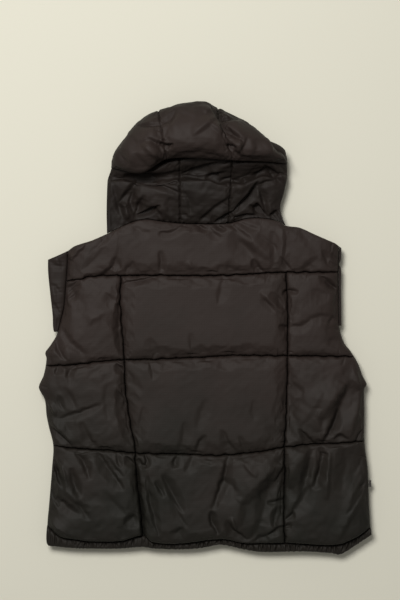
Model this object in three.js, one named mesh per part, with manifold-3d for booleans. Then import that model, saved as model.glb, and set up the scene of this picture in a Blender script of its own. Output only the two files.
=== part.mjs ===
// A hooded puffer vest that lies face down on a table, with its back and hood up.
// Millimetres. X runs to the right, Y from the hem to the hood, Z up from the table.
// Every padded piece is a closed wall: a puffed outer face over a plain inner face.
import * as THREE from 'three';
import { mergeVertices } from 'three/addons/utils/BufferGeometryUtils.js';
import Module from 'manifold-3d';

// ---- driving sizes ----
const SEAM_GAP = 0.32;        // space left between two pieces at a seam
const BACK_INSIDE = 20;       // height of the plain inner face of the back
const FRONT_INSIDE = 19.7;    // height of the plain inner face of the fronts
const EDGE_WALL = 3;          // thickness of a wall at a free edge
const NECK_GAP = 0.85;        // a wider one where the neck seam bends sharply
const STITCHED_WALL = 5;      // thickness of a wall under a stitch line
const CELL_LOFT = 21;         // how far a quilted cell rises over its stitch lines
const YOKE_LOFT = 19;
const EDGE_ROUND = 42;        // width over which a side edge rounds off
const HEM_LOFT = 5;
const HEM_WAVES = 34;         // gathers across the back hem
const HEM_WAVE_HEIGHT = 2.2;
const ZIP_HALF_WIDTH = 9;     // from the middle of the closed zip to the edge of its tape
const ZIP_BOTTOM = -384;
const ZIP_TOP = 88;
const TAPE_LOW = 12.5;
const TAPE_HIGH = 14.5;
const CHAIN_HALF_WIDTH = 3;
const CHAIN_LOW = 10.5;
const CHAIN_HIGH = 16.5;

// The slider's two plates, its post, and the ears that hold the pull.
const PLATE = 1.5;
const PLATE_HALF_WIDTH = 5.2;
const PLATE_GAP = 0.3;
const FLANGE = 0.7;
const SLIDER_START = 75;
const SLIDER_END = 91.5;
const POST_START = ZIP_TOP + 0.4;
const HINGE_Y = 81;
const HINGE_Z = 2.7;
const PIN_RADIUS = 0.8;
const EAR_INSIDE = 2.1;
const EAR_OUTSIDE = 3.3;
const PULL_LENGTH = 27;
const PULL_HALF_WIDTH = 3.6;
const PULL_HALF_THICKNESS = 0.9;
const EYE_RADIUS = 1.9;
const EYE_HOLE_RADIUS = 1.15;
const EYE_HALF_WIDTH = 1.7;

const FRONT_HEM_WIDTH = 12;
const FRONT_ARMHOLE_EASE = 1;      // how much deeper the fronts are cut at the armholes
const UNDERARM = -60;
const BAND_CROWN = 4;              // how far the padding of an armhole band stands up
const LEFT_BAND_BOTTOM = -6;
const RIGHT_BAND_BOTTOM = 5;
const RIGHT_BAND_EASE = 0.2;       // extra room between the right band and the back
const SIDE_ROUND = 34;             // widths over which the fronts round up: at the sides,
const ZIP_ROUND = 16;              // beside the zip,
const NECK_ROUND = 22;             // at the shoulders and neck,
const HEM_ROUND = 18;              // and at the hem
const ARMHOLE_LENGTH = 40;         // length over which the armhole ease comes in
const HOOD_COLUMNS = 9;            // steps across a hood panel
const HOOD_SEAM_WIDTH = 0.14;      // how wide the press of a hood seam is, in panels
const HOOD_SIDE_HEIGHT = 12;       // the hood's rows flatten towards this height at its sides
const HOOD_SIDE_ROUND = 1.1;       // and round down to it over this much of a side panel
const TAB_Y = -276;                // a small blank tab in the right side seam
const TAB_SIZE = [4.6, 12, 1.4];
const ORIGIN_SHIFT = [-0.34, -0.54];   // from the pattern's zero to the middle of the outline

// ---- the pattern lines, as seen from above ----
// Lines across the body: [x, y].
const HEM_EDGE = [
  [-276, -387], [-234, -391], [-154, -392], [-111, -389], [-91, -392], [-34, -393], [0, -390],
  [28, -385], [68, -393], [100, -398], [173, -397], [225, -400], [241, -402], [268, -386], [297, -367],
];
const HEM_SEAM = [
  [-282, -349], [-261, -368], [-234, -374], [-202, -378], [-148, -377], [-109, -368], [-93, -379],
  [-46, -382], [30, -374], [70, -381], [150, -381], [232, -384], [264, -373], [295, -354],
];
const LOWER_QUILT_LINE = [
  [-276, -207], [-227, -213], [-170, -216], [-120, -221], [-34, -223], [27, -225], [105, -217],
  [143, -210], [195, -205], [241, -203], [290, -199],
];
const UPPER_QUILT_LINE = [
  [-290, -67], [-227, -64], [-170, -57], [-80, -54], [-9, -51], [48, -48], [195, -49], [280, -50],
];
const YOKE_SEAM = [
  [-250, 83], [-220, 88], [-202, 92], [-170, 94], [27, 94], [70, 96], [127, 99], [245, 100],
];
const SHOULDERS_AND_NECK = [
  [-282, 121], [-244, 138], [-232, 146], [-202, 156], [-174, 168], [-134, 187], [-106, 194],
  [-75, 190], [-31, 186], [43, 187], [73, 195], [102, 196], [132, 190], [143, 183], [168, 179],
  [195, 167], [218, 157], [232, 151], [244, 142],
];
const FRONT_NECKLINE = [
  [-174, 168], [-150, 168], [-134, 160], [-120, 145], [-95, 122], [-60, 104], [-30, 95],
  [-9, 88], [9, 88], [30, 95], [60, 104], [95, 122], [112, 145], [124, 165], [136, 182], [143, 183],
];
// Lines along the body: [y, x].
const BACK_LEFT_EDGE = [
  [-392, -274], [-381, -281], [-342, -280], [-320, -278], [-285, -275], [-247, -272], [-208, -270],
  [-174, -278], [-154, -282], [-127, -285], [-108, -295], [-101, -295], [-83, -287], [-54, -282],
  [-43, -284], [-30, -275], [-12, -264], [5, -259], [37, -251], [71, -248], [110, -245], [140, -244],
];
const BACK_RIGHT_EDGE = [
  [-392, 297], [-368, 296], [-342, 294], [-308, 292], [-251, 290], [-201, 284], [-149, 284],
  [-108, 284], [-99, 288], [-83, 280], [-63, 273], [-40, 259], [-26, 248], [-6, 241], [5, 239],
  [69, 238], [107, 238], [145, 239],
];
const LEFT_SEAM = [
  [-392, -109], [-365, -110], [-320, -114], [-274, -120], [-233, -123], [-206, -124], [-179, -130],
  [-128, -138], [-101, -141], [-56, -143], [12, -148], [57, -150], [92, -149], [200, -149],
];
const RIGHT_SEAM = [
  [-392, 143], [-342, 140], [-251, 142], [-211, 141], [-183, 143], [-138, 145], [-49, 147],
  [35, 147], [94, 145], [200, 145],
];
const LEFT_BAND_EDGE = [
  [-12, -267], [1, -270], [24, -271], [60, -275], [101, -279], [130, -279],
];
const RIGHT_BAND_EDGE = [[0, 243], [69, 242], [107, 242], [114, 238.5], [122, 242], [145, 243]];

// Main folds of the back: a trough where depth is negative, a ridge where it is positive.
const BACK_FOLDS = [
  { from: [-230, -213], to: [-205, -266], width: 13, depth: -6 },
  { from: [-191, -218], to: [-142, -276], width: 13, depth: -6 },
  { from: [-269, -223], to: [-219, -330], width: 15, depth: -6 },
  { from: [-250, -156], to: [-183, -131], width: 12, depth: -4 },
  { from: [-281, -166], to: [-234, -207], width: 13, depth: -5 },
  { from: [-246, -111], to: [-224, -150], width: 13, depth: 4 },
  { from: [-253, 2], to: [-215, -44], width: 14, depth: -5 },
  { from: [-164, 56], to: [-156, -48], width: 12, depth: -5 },
  { from: [24, 85], to: [22, 40], width: 14, depth: -4 },
  { from: [100, 66], to: [125, 25], width: 15, depth: -4 },
  { from: [213, 88], to: [236, 55], width: 13, depth: -4 },
  { from: [254, -97], to: [199, -168], width: 15, depth: -8 },
  { from: [246, -146], to: [207, -201], width: 13, depth: -6 },
  { from: [168, -168], to: [195, -205], width: 13, depth: -5 },
  { from: [203, -211], to: [152, -262], width: 14, depth: -7 },
  { from: [188, -218], to: [186, -274], width: 13, depth: -6 },
  { from: [217, -223], to: [198, -290], width: 13, depth: 5 },
  { from: [248, -212], to: [223, -297], width: 15, depth: -7 },
  { from: [287, -268], to: [248, -338], width: 15, depth: -6 },
  { from: [-3, -190], to: [-31, -250], width: 14, depth: -5 },
  { from: [-45, -180], to: [-60, -232], width: 13, depth: -4 },
  { from: [39, -232], to: [9, -345], width: 16, depth: -7 },
  { from: [133, -236], to: [52, -340], width: 18, depth: -9 },
  { from: [109, -304], to: [158, -320], width: 14, depth: -5 },
  { from: [-76, -262], to: [-38, -326], width: 15, depth: -5 },
  { from: [-115, -250], to: [-93, -352], width: 13, depth: -5 },
  { from: [45, 168], to: [100, 120], width: 16, depth: -5 },
  { from: [138, 170], to: [138, 118], width: 14, depth: -4 },
  { from: [-79, 132], to: [-78, 98], width: 14, depth: -3 },
  { from: [-164, 115], to: [-180, 96], width: 13, depth: -3 },
  { from: [203, 137], to: [238, 115], width: 13, depth: -4 },
];

// The hood from the neck seam, under the overhanging crown, round its lip and over to the top.
// Each row is one line across the hood. part says where it lies in plan: 0 neck seam, 1 lip, 2 top.
// shift is how far it stands past that in Y, and skew how far it has moved from the seam places of
// the lower hood to those of the crown. outer and inner are the heights of the two faces in the
// middle, innerShift how far the inner face lies past the outer one in Y, sides the share of the
// height that is left at the hood's sides, and dip how deep the two seams are pressed in.
const HOOD_ROWS = [
  { part: 0, shift: 0, skew: 0, outer: 25, inner: 20, innerShift: 0, sides: 1, dip: 0 },
  { part: 0.08, shift: 0, skew: 0, outer: 36, inner: 21, innerShift: 0, sides: 0.65, dip: 1 },
  { part: 0.2, shift: 0, skew: 0, outer: 46, inner: 23, innerShift: 0, sides: 0.45, dip: 3 },
  { part: 0.4, shift: 0, skew: 0, outer: 55, inner: 26, innerShift: 0, sides: 0.36, dip: 3 },
  { part: 0.6, shift: 0, skew: 0, outer: 58, inner: 27, innerShift: 0, sides: 0.34, dip: 3 },
  { part: 0.8, shift: 0, skew: 0, outer: 56, inner: 28, innerShift: 0, sides: 0.32, dip: 3 },
  { part: 1, shift: 0, skew: 0, outer: 50, inner: 28.5, innerShift: 0, sides: 0.32, dip: 1 },
  { part: 1, shift: 15, skew: 0.1, outer: 46.4, inner: 29, innerShift: 5, sides: 0.32, dip: 0 },
  { part: 1, shift: 27, skew: 0.3, outer: 46.7, inner: 31, innerShift: 11, sides: 0.32, dip: 0 },
  { part: 1, shift: 30, skew: 0.5, outer: 47.5, inner: 47, innerShift: 17, sides: 0.32, dip: 0 },
  { part: 1, shift: 27, skew: 0.7, outer: 48.3, inner: 62, innerShift: 9, sides: 0.32, dip: 0 },
  { part: 1, shift: 14, skew: 0.9, outer: 48.8, inner: 65, innerShift: 12, sides: 0.32, dip: 0 },
  { part: 1, shift: 3, skew: 1, outer: 52, inner: 66.2, innerShift: 17, sides: 0.32, dip: 0 },
  { part: 1, shift: 0, skew: 1, outer: 63, inner: 67.2, innerShift: 18, sides: 0.32, dip: 0 },
  { part: 1, shift: 5, skew: 1, outer: 79, inner: 68.6, innerShift: 16, sides: 0.32, dip: 3 },
  { part: 1.2, shift: 0, skew: 1, outer: 90, inner: 75, innerShift: 7, sides: 0.32, dip: 6 },
  { part: 1.32, shift: 0, skew: 1, outer: 96, inner: 80, innerShift: 4, sides: 0.32, dip: 7 },
  { part: 1.45, shift: 0, skew: 1, outer: 98, inner: 82, innerShift: 2, sides: 0.32, dip: 7 },
  { part: 1.58, shift: 0, skew: 1, outer: 96, inner: 80, innerShift: -1, sides: 0.32, dip: 7 },
  { part: 1.72, shift: 0, skew: 1, outer: 88, inner: 72, innerShift: -4, sides: 0.32, dip: 7 },
  { part: 1.86, shift: 0, skew: 1, outer: 73, inner: 58, innerShift: -8, sides: 0.34, dip: 5 },
  { part: 1.96, shift: 0, skew: 1, outer: 51, inner: 39, innerShift: -10, sides: 0.42, dip: 2 },
  { part: 2, shift: 0, skew: 1, outer: 29, inner: 24, innerShift: -6, sides: 0.6, dip: 0 },
];
// Lines across the hood in plan, [x, y] at: left edge, mid panel, seam, middle, seam, mid, right.
const HOOD_STATIONS = [0, 0.5, 1, 1.5, 2, 2.5, 3];
const HOOD_NECK_X = [-174, -106, -44, 0, 42, 92, 143];
const LIP_LOWER = [[-166, 285], [-104, 277], [-45, 295], [0, 299], [48, 294], [97, 293], [146, 292]];
const LIP_CROWN = [[-166, 285], [-112, 273], [-67, 297], [-10, 299], [47, 295], [97, 294], [146, 292]];
const HOOD_TOP = [[-146, 334], [-117, 368], [-83, 387], [-12, 403], [24, 391], [84, 360], [132, 316]];
// How far the two sides of the hood stand out from a straight line, by part.
const LEFT_SIDE_BOW = [[0, 0], [0.3, -4], [0.8, -5], [1, 0], [1.5, -5], [2, 0]];
const RIGHT_SIDE_BOW = [[0, 0], [0.18, -10], [0.45, -3], [0.7, 1], [1, 0], [1.5, 2], [2, 0]];
const CROWN_FOLDS = [
  { from: [11, 362], to: [58, 325], width: 13, depth: 6 },
  { from: [30, 344], to: [64, 330], width: 11, depth: -6 },
  { from: [-112, 357], to: [-75, 360], width: 12, depth: -4 },
  { from: [-98, 332], to: [-70, 320], width: 12, depth: -4 },
  { from: [-17, 341], to: [14, 364], width: 12, depth: 3 },
];
const NAPE_FOLDS = [
  { from: [-150, 262], to: [-60, 244], width: 12, depth: -5 },
  { from: [-119, 206], to: [-84, 218], width: 11, depth: -6 },
  { from: [-152, 215], to: [-140, 262], width: 11, depth: 4 },
  { from: [93, 255], to: [42, 206], width: 11, depth: -6 },
  { from: [93, 222], to: [128, 208], width: 11, depth: -6 },
  { from: [20, 262], to: [100, 266], width: 11, depth: -4 },
  { from: [114, 280], to: [138, 250], width: 11, depth: -4 },
];
// The folded layers under the hood, in plan and height: [y, x of left edge, x of right edge, top].
const HIDDEN_FOLDS = [
  [112, -58, 58, 19.4], [122, -82, 82, 19.4], [145, -106, 100, 19.4], [168, -126, 112, 19.4],
  [186, -148, 124, 18.6], [215, -160, 126, 21], [260, -160, 134, 24], [300, -155, 134, 25.5],
  [335, -136, 112, 26.5], [362, -112, 74, 26.5], [380, -84, 34, 25.5], [389, -52, 10, 22],
];
const HIDDEN_EDGE = 0.36;          // share of the width over which the layers thin to each side
const HIDDEN_EDGE_HEIGHT = 0.3;    // and the share of their height that is left there
const HOOD_START = 165;            // above the shoulders they lie under the hood, and thin so
const HOOD_START_LENGTH = 30;
const HIDDEN_RIM = [
  { height: 0.82, inset: 0.2 }, { height: 0.56, inset: 4 }, { height: 0.3, inset: 0.2 },
];

// ---- colours and surfaces ----
function wovenShell(tone) {
  return new THREE.MeshStandardMaterial({ color: tone, roughness: 0.72, metalness: 0 });
}
function zipTape() {
  return new THREE.MeshStandardMaterial({ color: 0x1f1b19, roughness: 0.8, metalness: 0 });
}
function blackenedZinc() {
  return new THREE.MeshStandardMaterial({ color: 0x2a2a2b, roughness: 0.35, metalness: 0.9 });
}
const BACK_TONE = 0x352e2c;
const SIDE_TONE = 0x312a27;
const FRONT_TONE = 0x2f2926;
const HOOD_TONE = 0x342d2a;
const BAND_TONE = 0x2b2522;

// ---- curves ----
// A smooth line through a table of [position, value], read at any position.
function smoothLine(table) {
  const slope = (low, high) => (table[high][1] - table[low][1]) / (table[high][0] - table[low][0]);
  const last = table.length - 1;
  const tangents = table.map((row, i) => slope(Math.max(i - 1, 0), Math.min(i + 1, last)));
  return (position) => {
    const clamped = Math.min(Math.max(position, table[0][0]), table[last][0]);
    let i = 0;
    while (i < last - 1 && clamped > table[i + 1][0]) i += 1;
    const span = table[i + 1][0] - table[i][0];
    const t = (clamped - table[i][0]) / span;
    const toNext = t * t * (3 - 2 * t);
    const startPull = t * (1 - t) * (1 - t) * span * tangents[i];
    const endPull = t * t * (t - 1) * span * tangents[i + 1];
    return table[i][1] * (1 - toNext) + table[i + 1][1] * toNext + startPull + endPull;
  };
}

// count + 1 values from 0 to 1, closer together at both ends, where a cell curves most.
function spread(count) {
  const even = Array.from({ length: count + 1 }, (unused, k) => k / count);
  return even.map((t) => t - 0.4 * Math.sin(2 * Math.PI * t) / (2 * Math.PI));
}

function mix(a, b, t) {
  return a + (b - a) * t;
}

const hemEdge = smoothLine(HEM_EDGE);
const hemSeam = smoothLine(HEM_SEAM);
const lowerQuilt = smoothLine(LOWER_QUILT_LINE);
const upperQuilt = smoothLine(UPPER_QUILT_LINE);
const yokeSeam = smoothLine(YOKE_SEAM);
const topLine = smoothLine(SHOULDERS_AND_NECK);
const frontNeck = smoothLine(FRONT_NECKLINE);
const backLeft = smoothLine(BACK_LEFT_EDGE);
const backRight = smoothLine(BACK_RIGHT_EDGE);
const leftSeam = smoothLine(LEFT_SEAM);
const rightSeam = smoothLine(RIGHT_SEAM);
const leftBandEdge = smoothLine(LEFT_BAND_EDGE);
const rightBandEdge = smoothLine(RIGHT_BAND_EDGE);

// ---- closed walls ----
// Joins an upper and a lower face, each a grid of points [row][column], into one closed body.
// plain names a flat face that needs few triangles. rim lists grooves and ridges round the edge,
// from the upper face down: height is the share of the edge's height, and inset how far that line
// stands in from the edge.
function closedWall(upper, lower, plain = 'none', rim = []) {
  const rows = upper.length;
  const columns = upper[0].length;
  const points = [...upper.flat(), ...lower.flat()];
  const faces = [];
  const up = ([j, i]) => j * columns + i;
  const down = ([j, i]) => rows * columns + up([j, i]);
  for (const [a, b, c] of gridTriangles(rows, columns, plain === 'upper')) {
    faces.push(up(a), up(b), up(c));
  }
  for (const [a, b, c] of gridTriangles(rows, columns, plain === 'lower')) {
    faces.push(down(a), down(c), down(b));
  }
  const edge = edgeLoop(rows, columns);
  const middle = centreOf(upper.flat());
  let above = edge.map(up);
  for (const line of rim) {
    const start = points.length;
    points.push(...edge.map(([j, i]) => rimPoint(upper[j][i], lower[j][i], middle, line)));
    const below = edge.map((unused, k) => start + k);
    faces.push(...bandBetween(above, below));
    above = below;
  }
  faces.push(...bandBetween(above, edge.map(down)));
  return meshOf(points.flat(), faces);
}

function meshOf(positions, faces) {
  const geometry = new THREE.BufferGeometry();
  geometry.setAttribute('position', new THREE.Float32BufferAttribute(positions, 3));
  geometry.setIndex(faces);
  const merged = mergeVertices(geometry, 1e-4);
  merged.computeVertexNormals();
  return merged;
}

// Triangles of a grid as places [row, column]. A coarse one has large cells inside, and still
// meets every point along its edge: each cell is a fan from a corner that is off the edge.
function gridTriangles(rows, columns, coarse) {
  const step = coarse ? 5 : 1;
  const rowMarks = gridMarks(rows - 1, step);
  const columnMarks = gridMarks(columns - 1, step);
  const triangles = [];
  for (let a = 0; a < rowMarks.length - 1; a += 1) {
    for (let b = 0; b < columnMarks.length - 1; b += 1) {
      const [j0, j1] = [rowMarks[a], rowMarks[a + 1]];
      const [i0, i1] = [columnMarks[b], columnMarks[b + 1]];
      const outline = [
        ...steps(i0, i1, j0 === 0).map((i) => [j0, i]),
        ...steps(j0, j1, i1 === columns - 1).map((j) => [j, i1]),
        ...steps(i1, i0, j1 === rows - 1).map((i) => [j1, i]),
        ...steps(j1, j0, i0 === 0).map((j) => [j, i0]),
      ];
      const apex = [j0 === 0 ? j1 : j0, i0 === 0 ? i1 : i0];
      const first = outline.findIndex(([j, i]) => j === apex[0] && i === apex[1]);
      const turned = [...outline.slice(first), ...outline.slice(0, first)];
      for (let k = 1; k < turned.length - 1; k += 1) {
        triangles.push([turned[0], turned[k], turned[k + 1]]);
      }
    }
  }
  return triangles;
}

function gridMarks(last, step) {
  const cells = step > 1 ? Math.max(2, Math.round(last / step)) : last;
  return Array.from({ length: cells + 1 }, (unused, k) => Math.round((k * last) / cells));
}

// The whole numbers from one to the other without the last: all of them, or only the first.
function steps(from, to, all) {
  if (!all) return [from];
  const count = Math.abs(to - from);
  return Array.from({ length: count }, (unused, k) => from + Math.sign(to - from) * k);
}

// The grid places round the edge, counter-clockwise as seen from above.
function edgeLoop(rows, columns) {
  return [
    ...steps(0, columns - 1, true).map((i) => [0, i]),
    ...steps(0, rows - 1, true).map((j) => [j, columns - 1]),
    ...steps(columns - 1, 0, true).map((i) => [rows - 1, i]),
    ...steps(rows - 1, 0, true).map((j) => [j, 0]),
  ];
}

function centreOf(points) {
  return [0, 1].map((axis) => points.reduce((sum, point) => sum + point[axis], 0) / points.length);
}

function rimPoint(top, foot, middle, line) {
  const [x, y, z] = top.map((value, axis) => mix(foot[axis], value, line.height));
  const keep = 1 - line.inset / Math.hypot(x - middle[0], y - middle[1]);
  return [mix(middle[0], x, keep), mix(middle[1], y, keep), z];
}

// The faces between two loops. On the second half of a loop the quads are cut the other way, so
// that two pieces that meet at a seam have the same cuts there and cannot cross.
function bandBetween(above, below) {
  return above.flatMap((a, k) => {
    const next = (k + 1) % above.length;
    const [b, c, d] = [below[k], below[next], above[next]];
    return k < above.length / 2 ? [a, b, c, a, c, d] : [a, b, d, b, c, d];
  });
}

// A point between two lines along the body and two lines across it, each half a seam gap inside.
function planPoint(left, right, low, high, u, v) {
  const half = SEAM_GAP / 2;
  let x = 0;
  let y = 0;
  for (let round = 0; round < 8; round += 1) {
    x = mix(left(y) + half, right(y) - half, u);
    y = mix(low(x) + half, high(x) - half, v);
  }
  return [x, y];
}

// ---- puffed form ----
// The rise of padding between two stitch lines, 0 on each line and 1 in the middle.
function puff(t) {
  return Math.pow(Math.max(1 - Math.pow(Math.abs(2 * t - 1), 3), 0), 0.7);
}

// The round of a free edge, 0 on the edge and 1 from `reach` inwards.
function roundedEdge(distance, reach) {
  const t = Math.min(Math.max(distance / reach, 0), 1);
  return Math.sqrt(1 - (1 - t) * (1 - t));
}

// Sum of the folds at a place: each is a soft valley or ridge along a line, fading at its ends.
function foldDepth(folds, x, y) {
  let depth = 0;
  for (const fold of folds) {
    const dx = fold.to[0] - fold.from[0];
    const dy = fold.to[1] - fold.from[1];
    const along = ((x - fold.from[0]) * dx + (y - fold.from[1]) * dy) / (dx * dx + dy * dy);
    const t = Math.min(Math.max(along, 0), 1);
    const away = Math.hypot(x - fold.from[0] - t * dx, y - fold.from[1] - t * dy) / fold.width;
    depth += fold.depth * Math.exp(-away * away);
  }
  return depth;
}

// ---- pieces of the back ----
const CELL_ROWS = spread(12);
const ROW_LINES = [hemSeam, lowerQuilt, upperQuilt, yokeSeam];

// One column of the back: three quilted cells, one above the other. sideRise(u, x, y) gives the
// padding's share from side to side.
function backColumn(left, right, columns, sideRise) {
  const upper = [];
  const lower = [];
  for (let cell = 0; cell < 3; cell += 1) {
    const cellRows = cell < 2 ? CELL_ROWS.slice(0, -1) : CELL_ROWS;
    for (const v of cellRows) {
      const low = (x) => ROW_LINES[cell](x) + (cell > 0 ? -SEAM_GAP / 2 : 0);
      const high = (x) => ROW_LINES[cell + 1](x) + (cell < 2 ? SEAM_GAP / 2 : 0);
      const plan = columns.map((u) => planPoint(left, right, low, high, u, v));
      const rise = plan.map(([x, y], i) => sideRise(columns[i], x, y) * puff(v));
      upper.push(plan.map(([x, y], i) => [x, y, backHeight(rise[i], sideEdge(x, y), x, y, CELL_LOFT)]));
      lower.push(plan.map(([x, y]) => [x, y, BACK_INSIDE]));
    }
  }
  return closedWall(upper, lower, 'lower');
}

// 0 on the free edge at the sides, 1 further in: thins stitch lines where they run out.
function sideEdge(x, y) {
  return roundedEdge(Math.min(x - backLeft(y), backRight(y) - x), EDGE_ROUND);
}

function backHeight(rise, edge, x, y, loft) {
  const wall = mix(EDGE_WALL, STITCHED_WALL, edge);
  return BACK_INSIDE + wall + rise * (loft + foldDepth(BACK_FOLDS, x, y));
}

function seamPuff(t) {
  return t < 0.5 ? puff(t) : 1;
}

function backCentre() {
  return backColumn(leftSeam, rightSeam, spread(20), (u) => puff(u));
}

function backSideLeft() {
  const rise = (u, x, y) => sideEdge(x, y) * seamPuff(1 - u);
  return backColumn(backLeft, leftSeam, spread(10), rise);
}

function backSideRight() {
  const rise = (u, x, y) => sideEdge(x, y) * seamPuff(u);
  return backColumn(rightSeam, backRight, spread(10), rise);
}

// The three columns' grid lines, carried on across a piece that spans the whole back.
function acrossBack(low, high, v) {
  const bands = [
    { left: backLeft, right: leftSeam, steps: spread(10) },
    { left: leftSeam, right: rightSeam, steps: spread(20).slice(1, -1) },
    { left: rightSeam, right: backRight, steps: spread(10) },
  ];
  return bands.flatMap((band) =>
    band.steps.map((u) => planPoint(band.left, band.right, low, high, u, v)));
}

function backYoke() {
  const upper = [];
  const lower = [];
  for (const v of spread(8)) {
    const plan = acrossBack(yokeSeam, topLine, v);
    const height = ([x, y]) => {
      const rise = sideEdge(x, y) * puff(v);
      return backHeight(rise, sideEdge(x, y), x, y, YOKE_LOFT);
    };
    upper.push(plan.map((point) => [...point, height(point)]));
    lower.push(plan.map((point) => [...point, BACK_INSIDE]));
  }
  return closedWall(upper, lower, 'lower');
}

// Adds points between neighbours on a row, so that the gathers of the hem show.
function refine(row, parts) {
  const finer = [row[0]];
  for (let i = 1; i < row.length; i += 1) {
    for (let k = 1; k <= parts; k += 1) {
      finer.push(row[i].map((value, axis) => mix(row[i - 1][axis], value, k / parts)));
    }
  }
  return finer;
}

function gather(x) {
  return Math.sin((x / 590) * HEM_WAVES * 2 * Math.PI + 1.3 * Math.sin(x / 37));
}

function backHem() {
  const upper = [];
  const lower = [];
  for (const v of [0, 0.3, 0.7, 1]) {
    const plan = refine(acrossBack(hemEdge, hemSeam, v), 3);
    const body = Math.sin(Math.PI * v);
    const height = ([x]) => BACK_INSIDE + mix(EDGE_WALL, STITCHED_WALL - 1, v)
      + body * (HEM_LOFT + HEM_WAVE_HEIGHT * gather(x));
    upper.push(plan.map((point) => [...point, height(point)]));
    lower.push(plan.map((point) => [...point, BACK_INSIDE]));
  }
  return closedWall(upper, lower, 'lower');
}

// ---- armhole bands: a folded strip, its back half over its front half ----
function armholeBand(left, right, low, high, under) {
  const upper = [];
  const lower = [];
  for (const v of spread(10)) {
    const outer = [];
    const inner = [];
    for (const u of [0, 0.5, 1]) {
      const [x, y] = planPoint(left, right, () => low, high, u, v);
      const thickness = EDGE_WALL + BAND_CROWN * Math.sin(Math.PI * u) * puff(v);
      const inside = under ? FRONT_INSIDE : BACK_INSIDE;
      outer.push([x, y, under ? inside - thickness : inside + thickness]);
      inner.push([x, y, inside]);
    }
    upper.push(under ? inner : outer);
    lower.push(under ? outer : inner);
  }
  return closedWall(upper, lower);
}

function leftBand(under) {
  return armholeBand(leftBandEdge, backLeft, LEFT_BAND_BOTTOM, topLine, under);
}

function rightBand(under) {
  const inner = (y) => backRight(y) + RIGHT_BAND_EASE;
  return armholeBand(inner, rightBandEdge, RIGHT_BAND_BOTTOM, topLine, under);
}

// ---- fronts: flat where they rest, rounded up to their edges ----
const frontTop = (x) => Math.min(topLine(x), frontNeck(x));
const frontHemSeam = (x) => hemEdge(x) + FRONT_HEM_WIDTH;

// Height of the underside: 0 where it rests, rising as a round towards each edge.
function frontUnderside(x, y) {
  const lift = (distance, reach, height) => height * (1 - roundedEdge(distance, reach));
  const edgeHeight = FRONT_INSIDE - EDGE_WALL;
  return Math.max(
    lift(Math.min(x - backLeft(y), backRight(y) - x), SIDE_ROUND, edgeHeight),
    lift(Math.abs(x) - ZIP_HALF_WIDTH, ZIP_ROUND, TAPE_LOW - 1),
    lift(frontTop(x) - y, NECK_ROUND, edgeHeight),
    lift(y - hemEdge(x), HEM_ROUND, edgeHeight),
  );
}

// A front is cut a little deeper than the back at its armhole.
function armholeEase(y) {
  return FRONT_ARMHOLE_EASE * Math.min(Math.max((y - UNDERARM) / ARMHOLE_LENGTH, 0), 1);
}

// One front piece, between the outline and the zip. side is -1 on the left and 1 on the right.
function frontPiece(side, low, high, rowSteps) {
  const zip = () => side * (ZIP_HALF_WIDTH + SEAM_GAP / 2);
  const left = side < 0 ? (y) => backLeft(y) + armholeEase(y) : zip;
  const right = side < 0 ? zip : (y) => backRight(y) - armholeEase(y);
  const grid = rowSteps.map((v) => spread(12).map((u) => planPoint(left, right, low, high, u, v)));
  const inside = grid.map((row) => row.map((point) => [...point, FRONT_INSIDE]));
  const underside = grid.map((row) => row.map(([x, y]) => [x, y, frontUnderside(x, y)]));
  return closedWall(inside, underside, 'upper');
}

function frontPanel(side) {
  return frontPiece(side, frontHemSeam, frontTop, spread(22));
}

function frontHem(side) {
  return frontPiece(side, hemEdge, frontHemSeam, [0, 0.4, 1]);
}

// ---- hood ----
// A smooth line across the hood in plan, read by station.
function acrossHood(points) {
  const x = smoothLine(HOOD_STATIONS.map((station, k) => [station, points[k][0]]));
  const y = smoothLine(HOOD_STATIONS.map((station, k) => [station, points[k][1]]));
  return (station) => [x(station), y(station)];
}

const lipLower = acrossHood(LIP_LOWER);
const lipCrown = acrossHood(LIP_CROWN);
const hoodTop = acrossHood(HOOD_TOP);
const leftBow = smoothLine(LEFT_SIDE_BOW);
const rightBow = smoothLine(RIGHT_SIDE_BOW);

// The hood's neck edge follows the edge of the yoke, far enough off for its sharp bends.
const neckX = smoothLine(HOOD_STATIONS.map((station, k) => [station, HOOD_NECK_X[k]]));
const hoodNeck = (station) => [neckX(station), topLine(neckX(station)) + NECK_GAP];

// Share of the full height at a station: the hood rounds down to its two sides.
function hoodRound(station) {
  return roundedEdge(Math.min(station, 3 - station), HOOD_SIDE_ROUND);
}

// How much of the fold's depth is left at a station: it is deepest in the middle.
function foldReach(station) {
  return mix(0.4, 1, hoodRound(station));
}

function hoodPlan(row, station) {
  const lip = mixPoints(lipLower(station), lipCrown(station), row.skew);
  const upper = row.part > 1;
  const start = upper ? lip : hoodNeck(station);
  const end = upper ? hoodTop(station) : lip;
  const [x, y] = mixPoints(start, end, upper ? row.part - 1 : row.part);
  const bow = Math.max(1 - station, 0) * leftBow(row.part)
    + Math.max(station - 2, 0) * rightBow(row.part);
  return [x + bow, y + row.shift * foldReach(station)];
}

function mixPoints(a, b, t) {
  return a.map((value, axis) => mix(value, b[axis], t));
}

function hoodHeight(value, row, station) {
  const share = mix(row.sides, 1, hoodRound(station));
  return HOOD_SIDE_HEIGHT + (value - HOOD_SIDE_HEIGHT) * share;
}

// The press of the two seams at a station, 1 on a seam.
function seamPress(station) {
  return [1, 2].reduce((sum, seam) => sum + Math.exp(-Math.pow((station - seam) / HOOD_SEAM_WIDTH, 2)), 0);
}

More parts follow.
